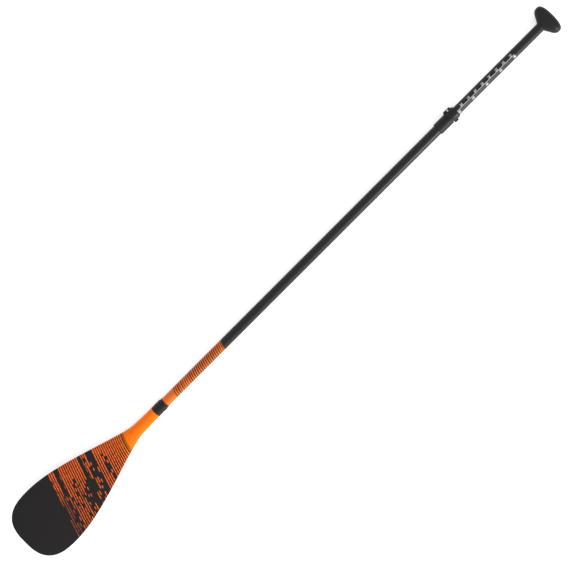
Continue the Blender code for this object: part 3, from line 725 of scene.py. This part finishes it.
def blade_material():
    """Matt black skin with broken slanted orange stripes that close up into solid orange at the neck."""
    g = Graph("blade_print_look", specular=BLADE_SPECULAR)
    y_mm = g.times(g.y, MM)
    along, stripe, across = blade_stripes(g, y_mm)
    lower_half = g.ramp_to(y_mm, LOWER_HALF_START_Y, LOWER_HALF_END_Y)
    solid = g.math("GREATER_THAN", along, BAND_START)
    ink = g.math("MAXIMUM", blade_dashes(g, y_mm, along, stripe, across, lower_half), solid)
    grain = g.times(g.noise(*SKIN_GRAIN), SKIN_GRAIN_SHARE)
    g.bump(g.add(grain, g.times(ink, BLADE_INK_SHARE)), PRINT_RELIEF)
    cloudy = g.swing(g.noise(*SKIN_NOISE), SKIN_ROUGHNESS_SWING)
    roughness = g.add(g.blend(ink, SKIN_ROUGHNESS, BLADE_INK_ROUGHNESS), cloudy)
    return g.finish(g.mix(ink, BLACK_SKIN, blade_ink_colour(g, along, solid, lower_half)), roughness)


def outer_face(g):
    """1 on the main tube's outer face and 0 in its bore."""
    height = g.add(g.z, -SHAFT_Z)
    from_axis = g.math("SQRT", g.add(g.times(g.y, g.y), g.math("POWER", height, 2.0)))
    return g.math("GREATER_THAN", from_axis, MAIN_BORE_R + TUBE_LIP)


def main_tube_material():
    """Woven black tube with an orange lower end crossed by uneven dark lines."""
    g = Graph("shaft_print_look", specular=TUBE_SPECULAR)
    past_collar = g.times(g.add(g.x, -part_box("joint_collar")[1].x), MM)
    along = g.add(past_collar, g.times(g.times(g.y, MM), -STRIPE_SLANT))
    wander = g.times(g.noise(*LINE_NOISE), TUBE_LINE_WANDER)
    count = g.times(g.add(along, wander), 1.0 / TUBE_LINE_PITCH)
    thicker = g.times(g.random(g.math("FLOOR", count), LINE_SEED), TUBE_LINE_SHARE_EXTRA)
    dark_line = g.below(g.math("FRACT", count), g.add(TUBE_LINE_SHARE_LEAST, thicker))
    lined = g.math("GREATER_THAN", along, TUBE_LINES_START)
    printed = g.times(outer_face(g), g.below(along, TUBE_LINES_END))
    ink = g.times(printed, g.math("SUBTRACT", 1.0, g.times(dark_line, lined)))
    weave = weave_height(g, *MAIN_CLOTH)
    g.bump(g.add(g.times(weave, MAIN_CLOTH_SHARE), g.times(ink, TUBE_INK_SHARE)), PRINT_RELIEF)
    bare = g.add(MAIN_TUBE_ROUGHNESS, g.times(weave, CLOTH_ROUGHNESS_EXTRA))
    ground = g.mix(printed, woven_black(g, weave), LINE_BROWN)
    # The tube's orange holds painted light: yellower towards the lit -Y side as a painted highlight, redder
    # towards +Y.
    bright = orange(g, TUBE_ORANGE_REACH, TUBE_ORANGE_SHADED_SIDE, TUBE_ORANGE_LIT_SIDE)
    return g.finish(g.mix(ink, ground, bright), g.blend(ink, bare, TUBE_INK_ROUGHNESS))


def carbon_material():
    """Woven black tube under a satin lacquer."""
    g = Graph("carbon_look", specular=TUBE_SPECULAR)
    weave = weave_height(g, *THIN_CLOTH)
    g.bump(weave, CLOTH_RELIEF)
    return g.finish(woven_black(g, weave), g.add(THIN_TUBE_ROUGHNESS, g.times(weave, CLOTH_ROUGHNESS_EXTRA)))


def moulded_material(name, low, high, roughness, grain, depth):
    """Moulded plastic with a fine spark-eroded grain and slightly cloudy colour."""
    g = Graph(name, specular=MOULDED_SPECULAR)
    cloud = g.noise(*CLOUD_NOISE)
    g.bump(g.noise(grain, GRAIN_DETAIL), depth)
    return g.finish(g.mix(cloud, low, high), g.add(roughness, g.swing(cloud, MOULDED_ROUGHNESS_SWING)))


def steel_material():
    """Turned stainless steel with fine lines."""
    g = Graph("steel_look", metallic=1.0)
    lines = g.noise(*LATHE_NOISE, g.stretched(*LATHE_STRETCH))
    g.bump(lines, LATHE_RELIEF)
    return g.finish(
        g.mix(lines, STEEL_DARK, STEEL_LIGHT), g.add(STEEL_ROUGHNESS, g.times(lines, STEEL_ROUGHNESS_EXTRA))
    )


def foam_material():
    """Closed-cell foam: small round cells."""
    g = Graph("foam_look", specular=FOAM_SPECULAR)
    cells = g.tree.nodes.new("ShaderNodeTexVoronoi")
    cells.inputs["Scale"].default_value = FOAM_CELL_SCALE
    g.tree.links.new(g.place, cells.inputs["Vector"])
    distance = cells.outputs["Distance"]
    g.bump(distance, FOAM_RELIEF)
    return g.finish(g.mix(distance, FOAM_DARK, FOAM_LIGHT), FOAM_ROUGHNESS)


def make_looks():
    looks = {
        "blade": blade_material(),
        "main_tube": main_tube_material(),
        "carbon": carbon_material(),
        "steel": steel_material(),
        "foam": foam_material(),
    }
    for name, surface in MOULDED.items():
        looks[name] = moulded_material(name + "_look", *surface)
    return looks


# ---- blade

def blade_outline():
    """(distance from the tip, half width): a superellipse tip, one curve down to the neck, the neck."""
    tip = []
    for i in range(TIP_STATIONS):
        turn = math.pi / 2 * i / TIP_STATIONS
        reach = END_CUT + (TIP_LENGTH - END_CUT) * (1.0 - math.cos(turn))
        tip.append((reach, BLADE_HALF_WIDTH * superellipse(1.0 - reach / TIP_LENGTH, TIP_POWER)))
    curve = interpolate_bezier(
        Vector((TIP_LENGTH, BLADE_HALF_WIDTH, 0.0)),
        Vector((TIP_LENGTH + SHOULDER_LEAD_IN, BLADE_HALF_WIDTH, 0.0)),
        Vector((SHOULDER_END - SHOULDER_LEAD_OUT, SHOULDER_HALF_WIDTH, 0.0)),
        Vector((SHOULDER_END, SHOULDER_HALF_WIDTH, 0.0)),
        SHOULDER_STATIONS,
    )
    shoulder = [(point.x, point.y) for point in curve]
    neck = []
    for i in range(1, NECK_STATIONS + 1):
        t = i / NECK_STATIONS
        swell = NECK_SWELL + (SHOULDER_HALF_WIDTH - NECK_R - NECK_SWELL) * (1.0 - t) ** 2
        half_width = NECK_R + swell * (1.0 - t)
        neck.append((SHOULDER_END + (NECK_END - SHOULDER_END) * t, half_width))
    return tip + shoulder + neck


def blade_centre_z(reach):
    """Height of the blade's middle surface above the shaft's axis: the tip is canted upwards."""
    slope = math.tan(math.radians(CANT_DEGREES))
    bend = CANT_END - CANT_START
    if reach >= CANT_END:
        return 0.0
    if reach >= CANT_START:
        return slope * (CANT_END - reach) ** 2 / (2.0 * bend)
    return slope * (bend / 2.0 + CANT_START - reach)


def blade_height(reach, y, half_width, spine):
    """Height of the outer face over the middle surface, from a flat blade to a round neck."""
    v = min(abs(y) / half_width, 1.0)
    tip_fade = math.sqrt(1.0 - (1.0 - min(reach / TIP_FADE_LENGTH, 1.0)) ** 2)
    fade = smooth_step(reach, SPINE_FADE_START, NECK_BLEND_START)
    flat = EDGE_HALF_THICKNESS * math.sqrt(1.0 - v ** EDGE_POWER) + CROWN * (1.0 - v * v)
    ridge = spine * fade * math.exp(-(y / SPINE_HALF_WIDTH) ** 2) * (1.0 - v ** SPINE_EDGE_POWER)
    neck = smooth_step(reach, NECK_BLEND_START, SHOULDER_END)
    return (1.0 - neck) * tip_fade * (flat + ridge) + neck * NECK_R * math.sqrt(1.0 - v * v)


def hollow_height(reach, turn, inner_half, half_width, spine):
    """Height of the hollow's face; 0 in the solid tip."""
    if reach < CAVITY_START:
        return 0.0
    if reach >= SHOULDER_END:
        return inner_half * math.sin(turn)
    wall = SKIN + (NECK_WALL - SKIN) * smooth_step(reach, WALL_BLEND_START, WALL_BLEND_END)
    return max(blade_height(reach, -inner_half * math.cos(turn), half_width, spine) - wall, 0.0)


def skin_ring(reach, half_width, side, spine):
    """Outer face from -Y to +Y, then back along the flat rim and the hollow's face."""
    land = RIM_LAND + (NECK_WALL - RIM_LAND) * smooth_step(reach, WALL_BLEND_START, WALL_BLEND_END)
    outer_half = NECK_R if reach >= SHOULDER_END else half_width
    inner_half = max(outer_half - land, half_width * LEAST_HOLLOW_SHARE)
    centre = blade_centre_z(reach)
    outer, inner = [], []
    for i in range(ACROSS_STEPS + 1):
        turn = math.pi * i / ACROSS_STEPS
        y = -half_width * math.cos(turn)
        rise = side * (GAP / 2 + blade_height(reach, y, half_width, spine))
        outer.append(on_shaft(TIP_X + reach, y, centre + rise))
        depth = side * (GAP / 2 + hollow_height(reach, turn, inner_half, half_width, spine))
        inner.append(on_shaft(TIP_X + reach, -inner_half * math.cos(turn), centre + depth))
    return outer + inner[::-1]


def blade_skin(name, side, spine):
    """One face of the blade as a thin closed shell, open towards the other face."""
    bm = bmesh.new()
    rings = [
        [bm.verts.new(point) for point in skin_ring(reach, half, side, spine)]
        for reach, half in blade_outline()
    ]
    join_rings(bm, rings)
    for ring in (rings[0], rings[-1]):
        last = len(ring) - 1
        for i in range(ACROSS_STEPS):
            bm.faces.new((ring[i], ring[i + 1], ring[last - i - 1], ring[last - i]))
    bmesh.ops.recalc_face_normals(bm, faces=bm.faces)
    return new_object(name, bm)


def make_blade(looks):
    for name, side, spine, node in (
        ("blade_front_face", 1, 0.0, "blade_front_skin"),
        ("blade_back_face", -1, SPINE_HEIGHT, "blade_back_skin"),
    ):
        place(blade_skin(name, side, spine), "blade", "blade_print", looks["blade"], node)


# ---- tubes and collar

def button_hole():
    """A cutter for the snap button's hole."""
    y = (BUTTON_HOLE_OUTER_Y + BUTTON_HOLE_INNER_Y) / 2
    length = BUTTON_HOLE_INNER_Y - BUTTON_HOLE_OUTER_Y
    return rod("button_hole", on_shaft(BUTTON_X, y, 0.0), (0.0, 1.0, 0.0), BUTTON_HOLE_R, length)


def tube(name, node, bore):
    """A tube with eased lips, where the frame's node is."""
    low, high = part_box(node)
    radius = (high.y - low.y) / 2
    profile = rounded(((high.x, radius), (low.x, radius), (low.x, bore), (high.x, bore)), TUBE_LIP)
    return turned(name, lambda angle: profile)


def make_tubes(looks):
    spigot = tube("blade_spigot", "blade_ferrule", THIN_BORE_R)
    combine(spigot, [button_hole()])
    place(spigot, "blade", "carbon", looks["carbon"], "blade_ferrule")
    main = tube("main_shaft_tube", "main_tube", MAIN_BORE_R)
    combine(main, [button_hole()])
    place(main, "main_shaft", "shaft_print", looks["main_tube"], "main_tube")
    upper = tube("upper_shaft_tube", "upper_tube", THIN_BORE_R)
    place(upper, "upper_shaft", "carbon", looks["carbon"], "upper_tube")


def make_collar(looks):
    low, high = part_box("joint_collar")
    radius = (high.y - low.y) / 2
    throat_x = low.x + COLLAR_THROAT_LENGTH
    profile = rounded(
        (
            (high.x, COLLAR_LIP_R), (COLLAR_STEP_X, COLLAR_LIP_R), (COLLAR_STEP_X, radius),
            (low.x, radius), (low.x, COLLAR_THROAT_R), (throat_x, COLLAR_THROAT_R),
            (throat_x, COLLAR_BORE_R), (high.x, COLLAR_BORE_R),
        ),
        COLLAR_FILLET,
    )
    collar = turned("shaft_collar", lambda angle: profile)
    combine(collar, [button_hole()])
    place(collar, "main_shaft", "black_nylon", looks["nylon"], "joint_collar")


def make_button(looks):
    """A domed cap, slotted from inside so that it can be pressed down over the spring's leg."""
    low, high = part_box("snap_button")
    length = high.y - low.y
    profile = [(0.0, BUTTON_R), (length - BUTTON_DOME, BUTTON_R)]
    for i in range(1, BUTTON_DOME_STEPS):
        turn = math.pi / 2 * i / BUTTON_DOME_STEPS
        profile.append((length - BUTTON_DOME * (1.0 - math.sin(turn)), BUTTON_R * math.cos(turn)))
    base = on_shaft(BUTTON_X, high.y, 0.0)
    button = solid_turned("snap_button_pin", profile, base, Vector((0.0, -1.0, 0.0)))
    slot = block(
        "spring_slot",
        on_shaft(BUTTON_X - 2.0 * BUTTON_R, low.y + BUTTON_CROWN, -BUTTON_SLOT_WIDTH / 2),
        on_shaft(BUTTON_X + 2.0 * BUTTON_R, high.y + CUT_MARGIN, BUTTON_SLOT_WIDTH / 2),
    )
    combine(button, [slot])
    place(button, "button", "steel", looks["steel"], "snap_button")


# ---- clamp

def step_turns():
    """Angles just either side of the +Y half, where the seam between sleeve and band steps."""
    step = math.radians(SEAM_STEP_DEGREES)
    return (math.pi / 2 - step, math.pi / 2 + step, 3 * math.pi / 2 - step, 3 * math.pi / 2 + step)


def seam_x(angle):
    """Where the sleeve ends and the band begins: lower on the +Y half."""
    return STEP_LOW_X if math.cos(angle) > 0.0 else STEP_HIGH_X


def make_sleeve(looks):
    low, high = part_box("clamp_sleeve")
    radius = (high.y - low.y) / 2

    def profile(angle):
        return rounded(
            (
                (high.x, FINGER_R), (seam_x(angle) + SEAM_WIDTH, FINGER_R),
                (seam_x(angle) + SEAM_WIDTH, FINGER_NECK_R), (seam_x(angle), FINGER_NECK_R),
                (seam_x(angle), radius),
                (low.x + SLEEVE_CHAMFER, radius), (low.x, radius - SLEEVE_CHAMFER / 2),
                (low.x, COLLAR_BORE_R), (BORE_STEP_X, COLLAR_BORE_R), (BORE_STEP_X, FINGER_BORE_R),
                (high.x, FINGER_BORE_R),
            ),
            SLEEVE_FILLET,
        )

    sleeve = turned("clamp_body", profile, extra_turns=step_turns())
    slots = []
    for i in range(FINGER_COUNT):
        slot = block(
            "finger_slot",
            (SLOT_START_X, FINGER_BORE_R - CUT_MARGIN, -SLOT_WIDTH / 2),
            (high.x + CUT_MARGIN, FINGER_R + CUT_MARGIN, SLOT_WIDTH / 2),
        )
        turn = Matrix.Rotation(2.0 * math.pi * i / FINGER_COUNT, 4, "X")
        slot.data.transform(Matrix.Translation((0.0, 0.0, SHAFT_Z)) @ turn)
        slots.append(slot)
    combine(sleeve, slots)
    place(sleeve, "main_shaft", "black_nylon", looks["nylon"], "clamp_sleeve")


def ears():
    """The two bolt ears, still in one block, with eased edges."""
    bm = bmesh.new()
    low_z = SHAFT_Z - EAR_HALF_THICKNESS
    face = bm.faces.new([bm.verts.new((x, y, low_z)) for x, y in EAR_OUTLINE])
    raised = bmesh.ops.extrude_face_region(bm, geom=[face])
    top = [item for item in raised["geom"] if isinstance(item, bmesh.types.BMVert)]
    bmesh.ops.translate(bm, vec=(0.0, 0.0, 2.0 * EAR_HALF_THICKNESS), verts=top)
    bmesh.ops.recalc_face_normals(bm, faces=bm.faces)
    bmesh.ops.bevel(
        bm, geom=list(bm.edges), offset=EAR_BEVEL, segments=EAR_BEVEL_SEGMENTS, profile=0.5,
        affect="EDGES", clamp_overlap=True,
    )
    return new_object("ears", bm)


def make_band(looks):
    end_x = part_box("clamp_band")[1].x

    def profile(angle):
        start_x = seam_x(angle) + SEAM_WIDTH
        dome = []
        for i in range(BAND_DOME_STEPS + 1):
            turn = math.pi / 2 * i / BAND_DOME_STEPS
            rise = (BAND_R - BAND_BORE_R - GAP) * math.sin(turn)
            dome.append((end_x - BAND_DOME_LENGTH * (1.0 - math.cos(turn)), BAND_BORE_R + GAP + rise))
        start = [
            (start_x + BAND_FILLET, BAND_R), (start_x + BAND_FILLET / 4, BAND_R - BAND_FILLET / 4),
            (start_x, BAND_R - BAND_FILLET), (start_x, BAND_BORE_R), (end_x, BAND_BORE_R),
        ]
        return dome + start

    band = turned("clamp_ring", profile, extra_turns=step_turns())
    combine(band, [ears()], "UNION")
    middle_x = (STEP_LOW_X + end_x) / 2
    cutters = [
        rod("bore", on_shaft(middle_x, 0.0, 0.0), ALONG, BAND_BORE_R, 2.0 * CUT_REACH, TURN_STEPS),
        block(
            "split",
            on_shaft(STEP_LOW_X - CUT_MARGIN, BAND_BORE_R / 2, -BAND_SPLIT / 2),
            on_shaft(end_x + CUT_MARGIN, CUT_REACH, BAND_SPLIT / 2),
        ),
        rod("bolt_hole", on_shaft(BOLT_X, BOLT_Y, 0.0), UP, BOLT_HOLE_R, 2.0 * CUT_REACH),
    ]
    for side in (1, -1):
        height = side * (EAR_HALF_THICKNESS + SPOT_FACE_DEPTH / 2)
        cutters.append(rod("spot_face", on_shaft(BOLT_X, BOLT_Y, height), UP, SPOT_FACE_R, SPOT_FACE_DEPTH))
    combine(band, cutters)
    place(band, "main_shaft", "black_nylon", looks["band"], "clamp_band")


def make_bolt(looks):
    """Chamfered tail, shank, and a head with a rounded top edge and a hexagon socket."""
    head_low = EAR_HALF_THICKNESS + GAP
    tail = BARREL_Z - BARREL_R + BOLT_TAIL_INSET
    edge = BOLT_EDGE
    top = head_low + BOLT_HEAD_HEIGHT
    profile = [
        (tail, BOLT_R - edge / 2), (tail + edge, BOLT_R), (head_low, BOLT_R),
        (head_low, BOLT_HEAD_R - edge / 3), (head_low + edge / 3, BOLT_HEAD_R),
    ]
    for i in range(BOLT_EDGE_STEPS + 1):
        turn = math.pi / 2 * i / BOLT_EDGE_STEPS
        profile.append((top - edge * (1.0 - math.sin(turn)), BOLT_HEAD_R - edge * (1.0 - math.cos(turn))))
    bolt = solid_turned("clamp_bolt", profile, on_shaft(BOLT_X, BOLT_Y, 0.0), UP)
    socket = rod("socket", on_shaft(BOLT_X, BOLT_Y, top), UP, SOCKET_R, 2.0 * SOCKET_DEPTH, SOCKET_SIDES)
    combine(bolt, [socket])
    place(bolt, "main_shaft", "steel", looks["steel"], "tension_bolt")


def arm_ring(angle, shrink):
    """The arm's section, a rectangle with round corners, where it has come round to this angle."""
    fraction = (angle - ARM_START_DEGREES) / (ARM_END_DEGREES - ARM_START_DEGREES)
    taper = smooth_step(fraction, ARM_TAPER_START, ARM_TAPER_END)
    half_width = (CAM_WIDTH + (ARM_TIP_WIDTH - CAM_WIDTH) * taper) / 2 - shrink
    flare_start = -ARM_END_DEGREES - TIP_FLARE_DEGREES
    flare = TIP_FLARE * smooth_step(-angle, flare_start, -ARM_END_DEGREES)
    inner = ARM_INNER_R + shrink
    outer = ARM_OUTER_R + flare - shrink
    turn = math.radians(angle)
    if abs(angle - PAD_DEGREES) <= PAD_HALF_DEGREES:
        outer = min(outer + shrink, SHAFT_Z / abs(math.sin(turn)))
    corner = min(ARM_CORNER_R, (outer - inner) / 2)
    ring = []
    for start, x, radius in (
        (0.0, half_width - corner, outer - corner), (90.0, corner - half_width, outer - corner),
        (180.0, corner - half_width, inner + corner), (270.0, half_width - corner, inner + corner),
    ):
        for k in range(ARM_CORNER_STEPS + 1):
            bend = math.radians(start + 90.0 * k / ARM_CORNER_STEPS)
            far = radius + corner * math.sin(bend)
            ring.append(on_shaft(
                BOLT_X + x + corner * math.cos(bend), far * math.cos(turn), far * math.sin(turn)
            ))
    return ring


def make_lever(looks):
    """A curved arm, joined to a cam that is bored for the barrel nut and slotted for the bolt."""
    rings = []
    span = ARM_END_DEGREES - ARM_START_DEGREES
    for i in range(ARM_STATIONS + 1):
        angle = ARM_START_DEGREES + span * i / ARM_STATIONS
        to_end = min((angle - ARM_END_DEGREES) / ARM_END_ROUNDING_DEGREES, 1.0)
        shrink = ARM_END_ROUNDING * (1.0 - math.sqrt(1.0 - (1.0 - to_end) ** 2))
        rings.append(arm_ring(angle, shrink))
    lever = lofted("clamp_lever_arm", rings)
    edge = CAM_EDGE
    half = CAM_WIDTH / 2
    cam = solid_turned(
        "cam",
        ((-half, CAM_R - edge), (edge - half, CAM_R), (half - edge, CAM_R), (half, CAM_R - edge)),
        on_shaft(BOLT_X, BOLT_Y, BARREL_Z + CAM_OFFSET), ALONG,
    )
    combine(lever, [cam], "UNION")
    nut_hole = rod("nut_hole", on_shaft(BOLT_X, BOLT_Y, BARREL_Z), ALONG, BARREL_R + GAP, 2.0 * CAM_WIDTH)
    slot = block(
        "slot",
        on_shaft(BOLT_X - CAM_SLOT_WIDTH / 2, BOLT_Y - CAM_SLOT_WIDTH / 2, BARREL_Z - CAM_SLOT_REACH),
        on_shaft(BOLT_X + CAM_SLOT_WIDTH / 2, BOLT_Y + CAM_SLOT_REACH, BARREL_Z + CAM_SLOT_REACH),
    )
    combine(lever, [nut_hole, slot])
    place(lever, "lever", "black_nylon", looks["band"], "clamp_lever")


# ---- T-grip

def grip_half_width(x):
    """A rounded bar with straight flanks that spread from the round stem."""
    if x > GRIP_CENTRE_X:
        return GRIP_HALF_WIDTH * superellipse((x - GRIP_CENTRE_X) / GRIP_HALF_LENGTH_UP, GRIP_POWER_UP)
    bar = GRIP_HALF_WIDTH * superellipse((GRIP_CENTRE_X - x) / GRIP_HALF_LENGTH_DOWN, GRIP_POWER_DOWN)
    flank = STEM_R + FLARE_SLOPE * (x - GRIP_START_X)
    return max(bar, min(flank, FLARE_LIMIT))


def grip_half_thickness(x):
    """From the stem's radius, through the thick middle, to a thin rounded palm end."""
    if x > GRIP_CENTRE_X:
        return GRIP_HALF_THICKNESS * superellipse((x - GRIP_CENTRE_X) / GRIP_HALF_LENGTH_UP, GRIP_POWER_UP)
    return STEM_R + (GRIP_HALF_THICKNESS - STEM_R) * smooth_step(x, GRIP_START_X, GRIP_CENTRE_X)


def grip_half_ring(x, side):
    """Half a section of the grip, from +Y to -Y on one side of its middle plane, and flat across."""
    squareness = smooth_step(x, GRIP_START_X, GRIP_CENTRE_X)
    power = 2.0 / (GRIP_STEM_POWER + (GRIP_BAR_POWER - GRIP_STEM_POWER) * squareness)
    ring = []
    for i in range(GRIP_HALF_STEPS + 1):
        turn = math.pi * i / GRIP_HALF_STEPS
        across, up = math.cos(turn), abs(math.sin(turn))
        y = grip_half_width(x) * math.copysign(abs(across) ** power, across)
        z = side * max(grip_half_thickness(x) * up ** power, GRIP_HALF_SLIT)
        ring.append(on_shaft(x, y, z))
    return ring


def make_grip(looks):
    low, high = GRIP_START_X, GRIP_END_X - END_CUT
    for name, side, node in (
        ("t_grip_front", 1, "t_grip_front_shell"), ("t_grip_back", -1, "t_grip_back_shell"),
    ):
        rings = []
        for i in range(GRIP_STATIONS + 1):
            x = low + (high - low) * 0.5 * (1.0 - math.cos(math.pi * i / GRIP_STATIONS))
            rings.append(grip_half_ring(x, side))
        place(lofted(name, rings), "upper_shaft", "grip_nylon", looks["grip"], node)


# ---- length scale

def wrapped(point):
    """A flat point (offset towards -Y, place along the shaft, height) laid on the upper tube."""
    turn = point.x / UPPER_R
    far = UPPER_R + point.z
    return on_shaft(point.y, -far * math.sin(turn), far * math.cos(turn))


def wrap_mesh(bm):
    """Cuts a flat mesh into narrow strips, so that it follows the tube, and lays it round."""
    low = min(vertex.co.x for vertex in bm.verts)
    high = max(vertex.co.x for vertex in bm.verts)
    for i in range(1, int((high - low) / WRAP_STRIP) + 1):
        geometry = list(bm.verts) + list(bm.edges) + list(bm.faces)
        bmesh.ops.bisect_plane(
            bm, geom=geometry, plane_co=(low + i * WRAP_STRIP, 0.0, 0.0), plane_no=(1.0, 0.0, 0.0)
        )
    for vertex in bm.verts:
        vertex.co = wrapped(vertex.co)


def label_mesh(bm, text, width, offset, x):
    """Adds one number, fitted to its width and height and laid on the tube with its top towards +X."""
    curve = bpy.data.curves.new("label", "FONT")
    curve.body = str(text)
    curve.extrude = 1.0
    letters = bpy.data.objects.new("label", curve)
    bpy.context.scene.collection.objects.link(letters)
    bpy.context.view_layer.update()
    evaluated = letters.evaluated_get(bpy.context.evaluated_depsgraph_get())
    mesh = bpy.data.meshes.new_from_object(evaluated)
    bpy.data.objects.remove(letters, do_unlink=True)
    part = bmesh.new()
    part.from_mesh(mesh)
    bpy.data.meshes.remove(mesh)
    bmesh.ops.remove_doubles(part, verts=part.verts, dist=WELD_DISTANCE)
    lows = [min(vertex.co[i] for vertex in part.verts) for i in range(3)]
    highs = [max(vertex.co[i] for vertex in part.verts) for i in range(3)]
    for vertex in part.verts:
        share = [(vertex.co[i] - lows[i]) / (highs[i] - lows[i]) for i in range(3)]
        vertex.co = Vector((
            offset + (share[0] - 0.5) * width,
            x + (share[1] - 0.5) * LABEL_HEIGHT,
            -INK_SINK + share[2] * (INK_SINK + INK_THICKNESS),
        ))
    wrap_mesh(part)
    laid = bpy.data.meshes.new("label")
    part.to_mesh(laid)
    part.free()
    bm.from_mesh(laid)
    bpy.data.meshes.remove(laid)


def make_scale(looks):
    """A line along the upper tube, centimetres on its -Y side and inches on its +Y side."""
    line = bmesh.new()
    bmesh.ops.create_cube(line, size=1.0)
    length = SCALE_END_X - SCALE_START_X
    bmesh.ops.scale(line, vec=(SCALE_LINE_WIDTH, length, INK_THICKNESS + INK_SINK), verts=line.verts)
    middle = (SCALE_LINE_OFFSET, (SCALE_START_X + SCALE_END_X) / 2, (INK_THICKNESS - INK_SINK) / 2)
    bmesh.ops.translate(line, vec=middle, verts=line.verts)
    wrap_mesh(line)
    place(new_object("scale_line", line), "upper_shaft", None, looks["ink"])
    numbers = bmesh.new()
    for centimetres in CM_LABELS:
        x = SCALE_TOP_X + SCALE_TOP_LENGTH - centimetres / 100.0 + LABEL_HEIGHT / 2
        label_mesh(numbers, centimetres, CM_LABEL_WIDTH, CM_LABEL_OFFSET, x)
    for inches in INCH_LABELS:
        x = SCALE_TOP_X + SCALE_TOP_LENGTH - inches * INCH
        label_mesh(numbers, inches, INCH_LABEL_WIDTH, INCH_LABEL_OFFSET, x)
    place(new_object("scale_numbers", numbers), "upper_shaft", None, looks["ink"])


# ---- carried-over nodes, stage, camera

def dress_nodes(looks):
    """Materials for the frame's own nodes that stay as they are."""
    for node, look in (
        ("blade_foam_core", "foam"), ("ferrule_plug", "foam"), ("snap_spring", "steel"),
        ("cam_washer", "steel"), ("lever_barrel_nut", "steel"), ("guide_bush", "acetal"),
        ("upper_end_plug", "nylon"), ("grip_insert", "nylon"),
    ):
        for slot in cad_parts[node].material_slots:
            slot.material = looks[look]


def area_light(name, place_at, aim, size, power):
    """A rectangular lamp that points at the aim."""
    data = bpy.data.lights.new(name, "AREA")
    data.shape = "RECTANGLE"
    data.size, data.size_y = size
    data.energy = power
    lamp = bpy.data.objects.new(name, data)
    bpy.context.scene.collection.objects.link(lamp)
    lamp.location = place_at
    lamp.rotation_mode = "QUATERNION"
    lamp.rotation_quaternion = (Vector(aim) - Vector(place_at)).to_track_quat("-Z", "Y")


def make_stage():
    """A white floor that gives off some light of its own."""
    bm = bmesh.new()
    bmesh.ops.create_grid(bm, x_segments=1, y_segments=1, size=FLOOR_SIZE)
    floor = new_object("studio_floor", bm)
    material = bpy.data.materials.new("floor_look")
    material.use_nodes = True
    shader = material.node_tree.nodes["Principled BSDF"]
    shader.inputs["Base Color"].default_value = FLOOR_WHITE
    shader.inputs["Roughness"].default_value = FLOOR_ROUGHNESS
    shader.inputs["Specular IOR Level"].default_value = 0.0
    shader.inputs["Emission Color"].default_value = WHITE
    shader.inputs["Emission Strength"].default_value = FLOOR_GLOW
    floor.data.materials.append(material)


def make_light():
    scene = bpy.context.scene
    world = bpy.data.worlds.new("studio")
    world.use_nodes = True
    background = world.node_tree.nodes["Background"]
    background.inputs["Color"].default_value = WHITE
    background.inputs["Strength"].default_value = WORLD_STRENGTH
    scene.world = world
    for name, centre_x, length, power in KEY_LIGHTS:
        place_at = (centre_x, KEY_Y, KEY_HEIGHT)
        area_light(name, place_at, (centre_x, 0.0, 0.0), (length, KEY_DEPTH), power)
    scene.view_settings.view_transform = "Standard"


def make_camera():
    """Looks down on the paddle from a little way towards the grip, rolled to the photo's diagonal."""
    tilt = math.radians(CAMERA_TILT_DEGREES)
    roll = math.radians(CAMERA_ROLL_DEGREES)
    back = Vector((math.sin(tilt), 0.0, math.cos(tilt)))
    level = Vector((math.cos(tilt), 0.0, -math.sin(tilt)))
    sideways = Vector((0.0, 1.0, 0.0))
    right = level * math.cos(roll) - sideways * math.sin(roll)
    up = level * math.sin(roll) + sideways * math.cos(roll)
    data = bpy.data.cameras.new("camera")
    data.lens = LENS
    data.sensor_width = SENSOR
    camera = bpy.data.objects.new("camera", data)
    bpy.context.scene.collection.objects.link(camera)
    columns = Matrix((right, up, back)).transposed().to_4x4()
    camera.matrix_world = Matrix.Translation(AIM + back * CAMERA_DISTANCE) @ columns
    bpy.context.scene.camera = camera


make_stage()
make_light()
make_camera()
LOOKS = make_looks()
make_blade(LOOKS)
make_tubes(LOOKS)
make_collar(LOOKS)
make_button(LOOKS)
make_sleeve(LOOKS)
make_band(LOOKS)
make_bolt(LOOKS)
make_lever(LOOKS)
make_grip(LOOKS)
make_scale(LOOKS)
dress_nodes(LOOKS)
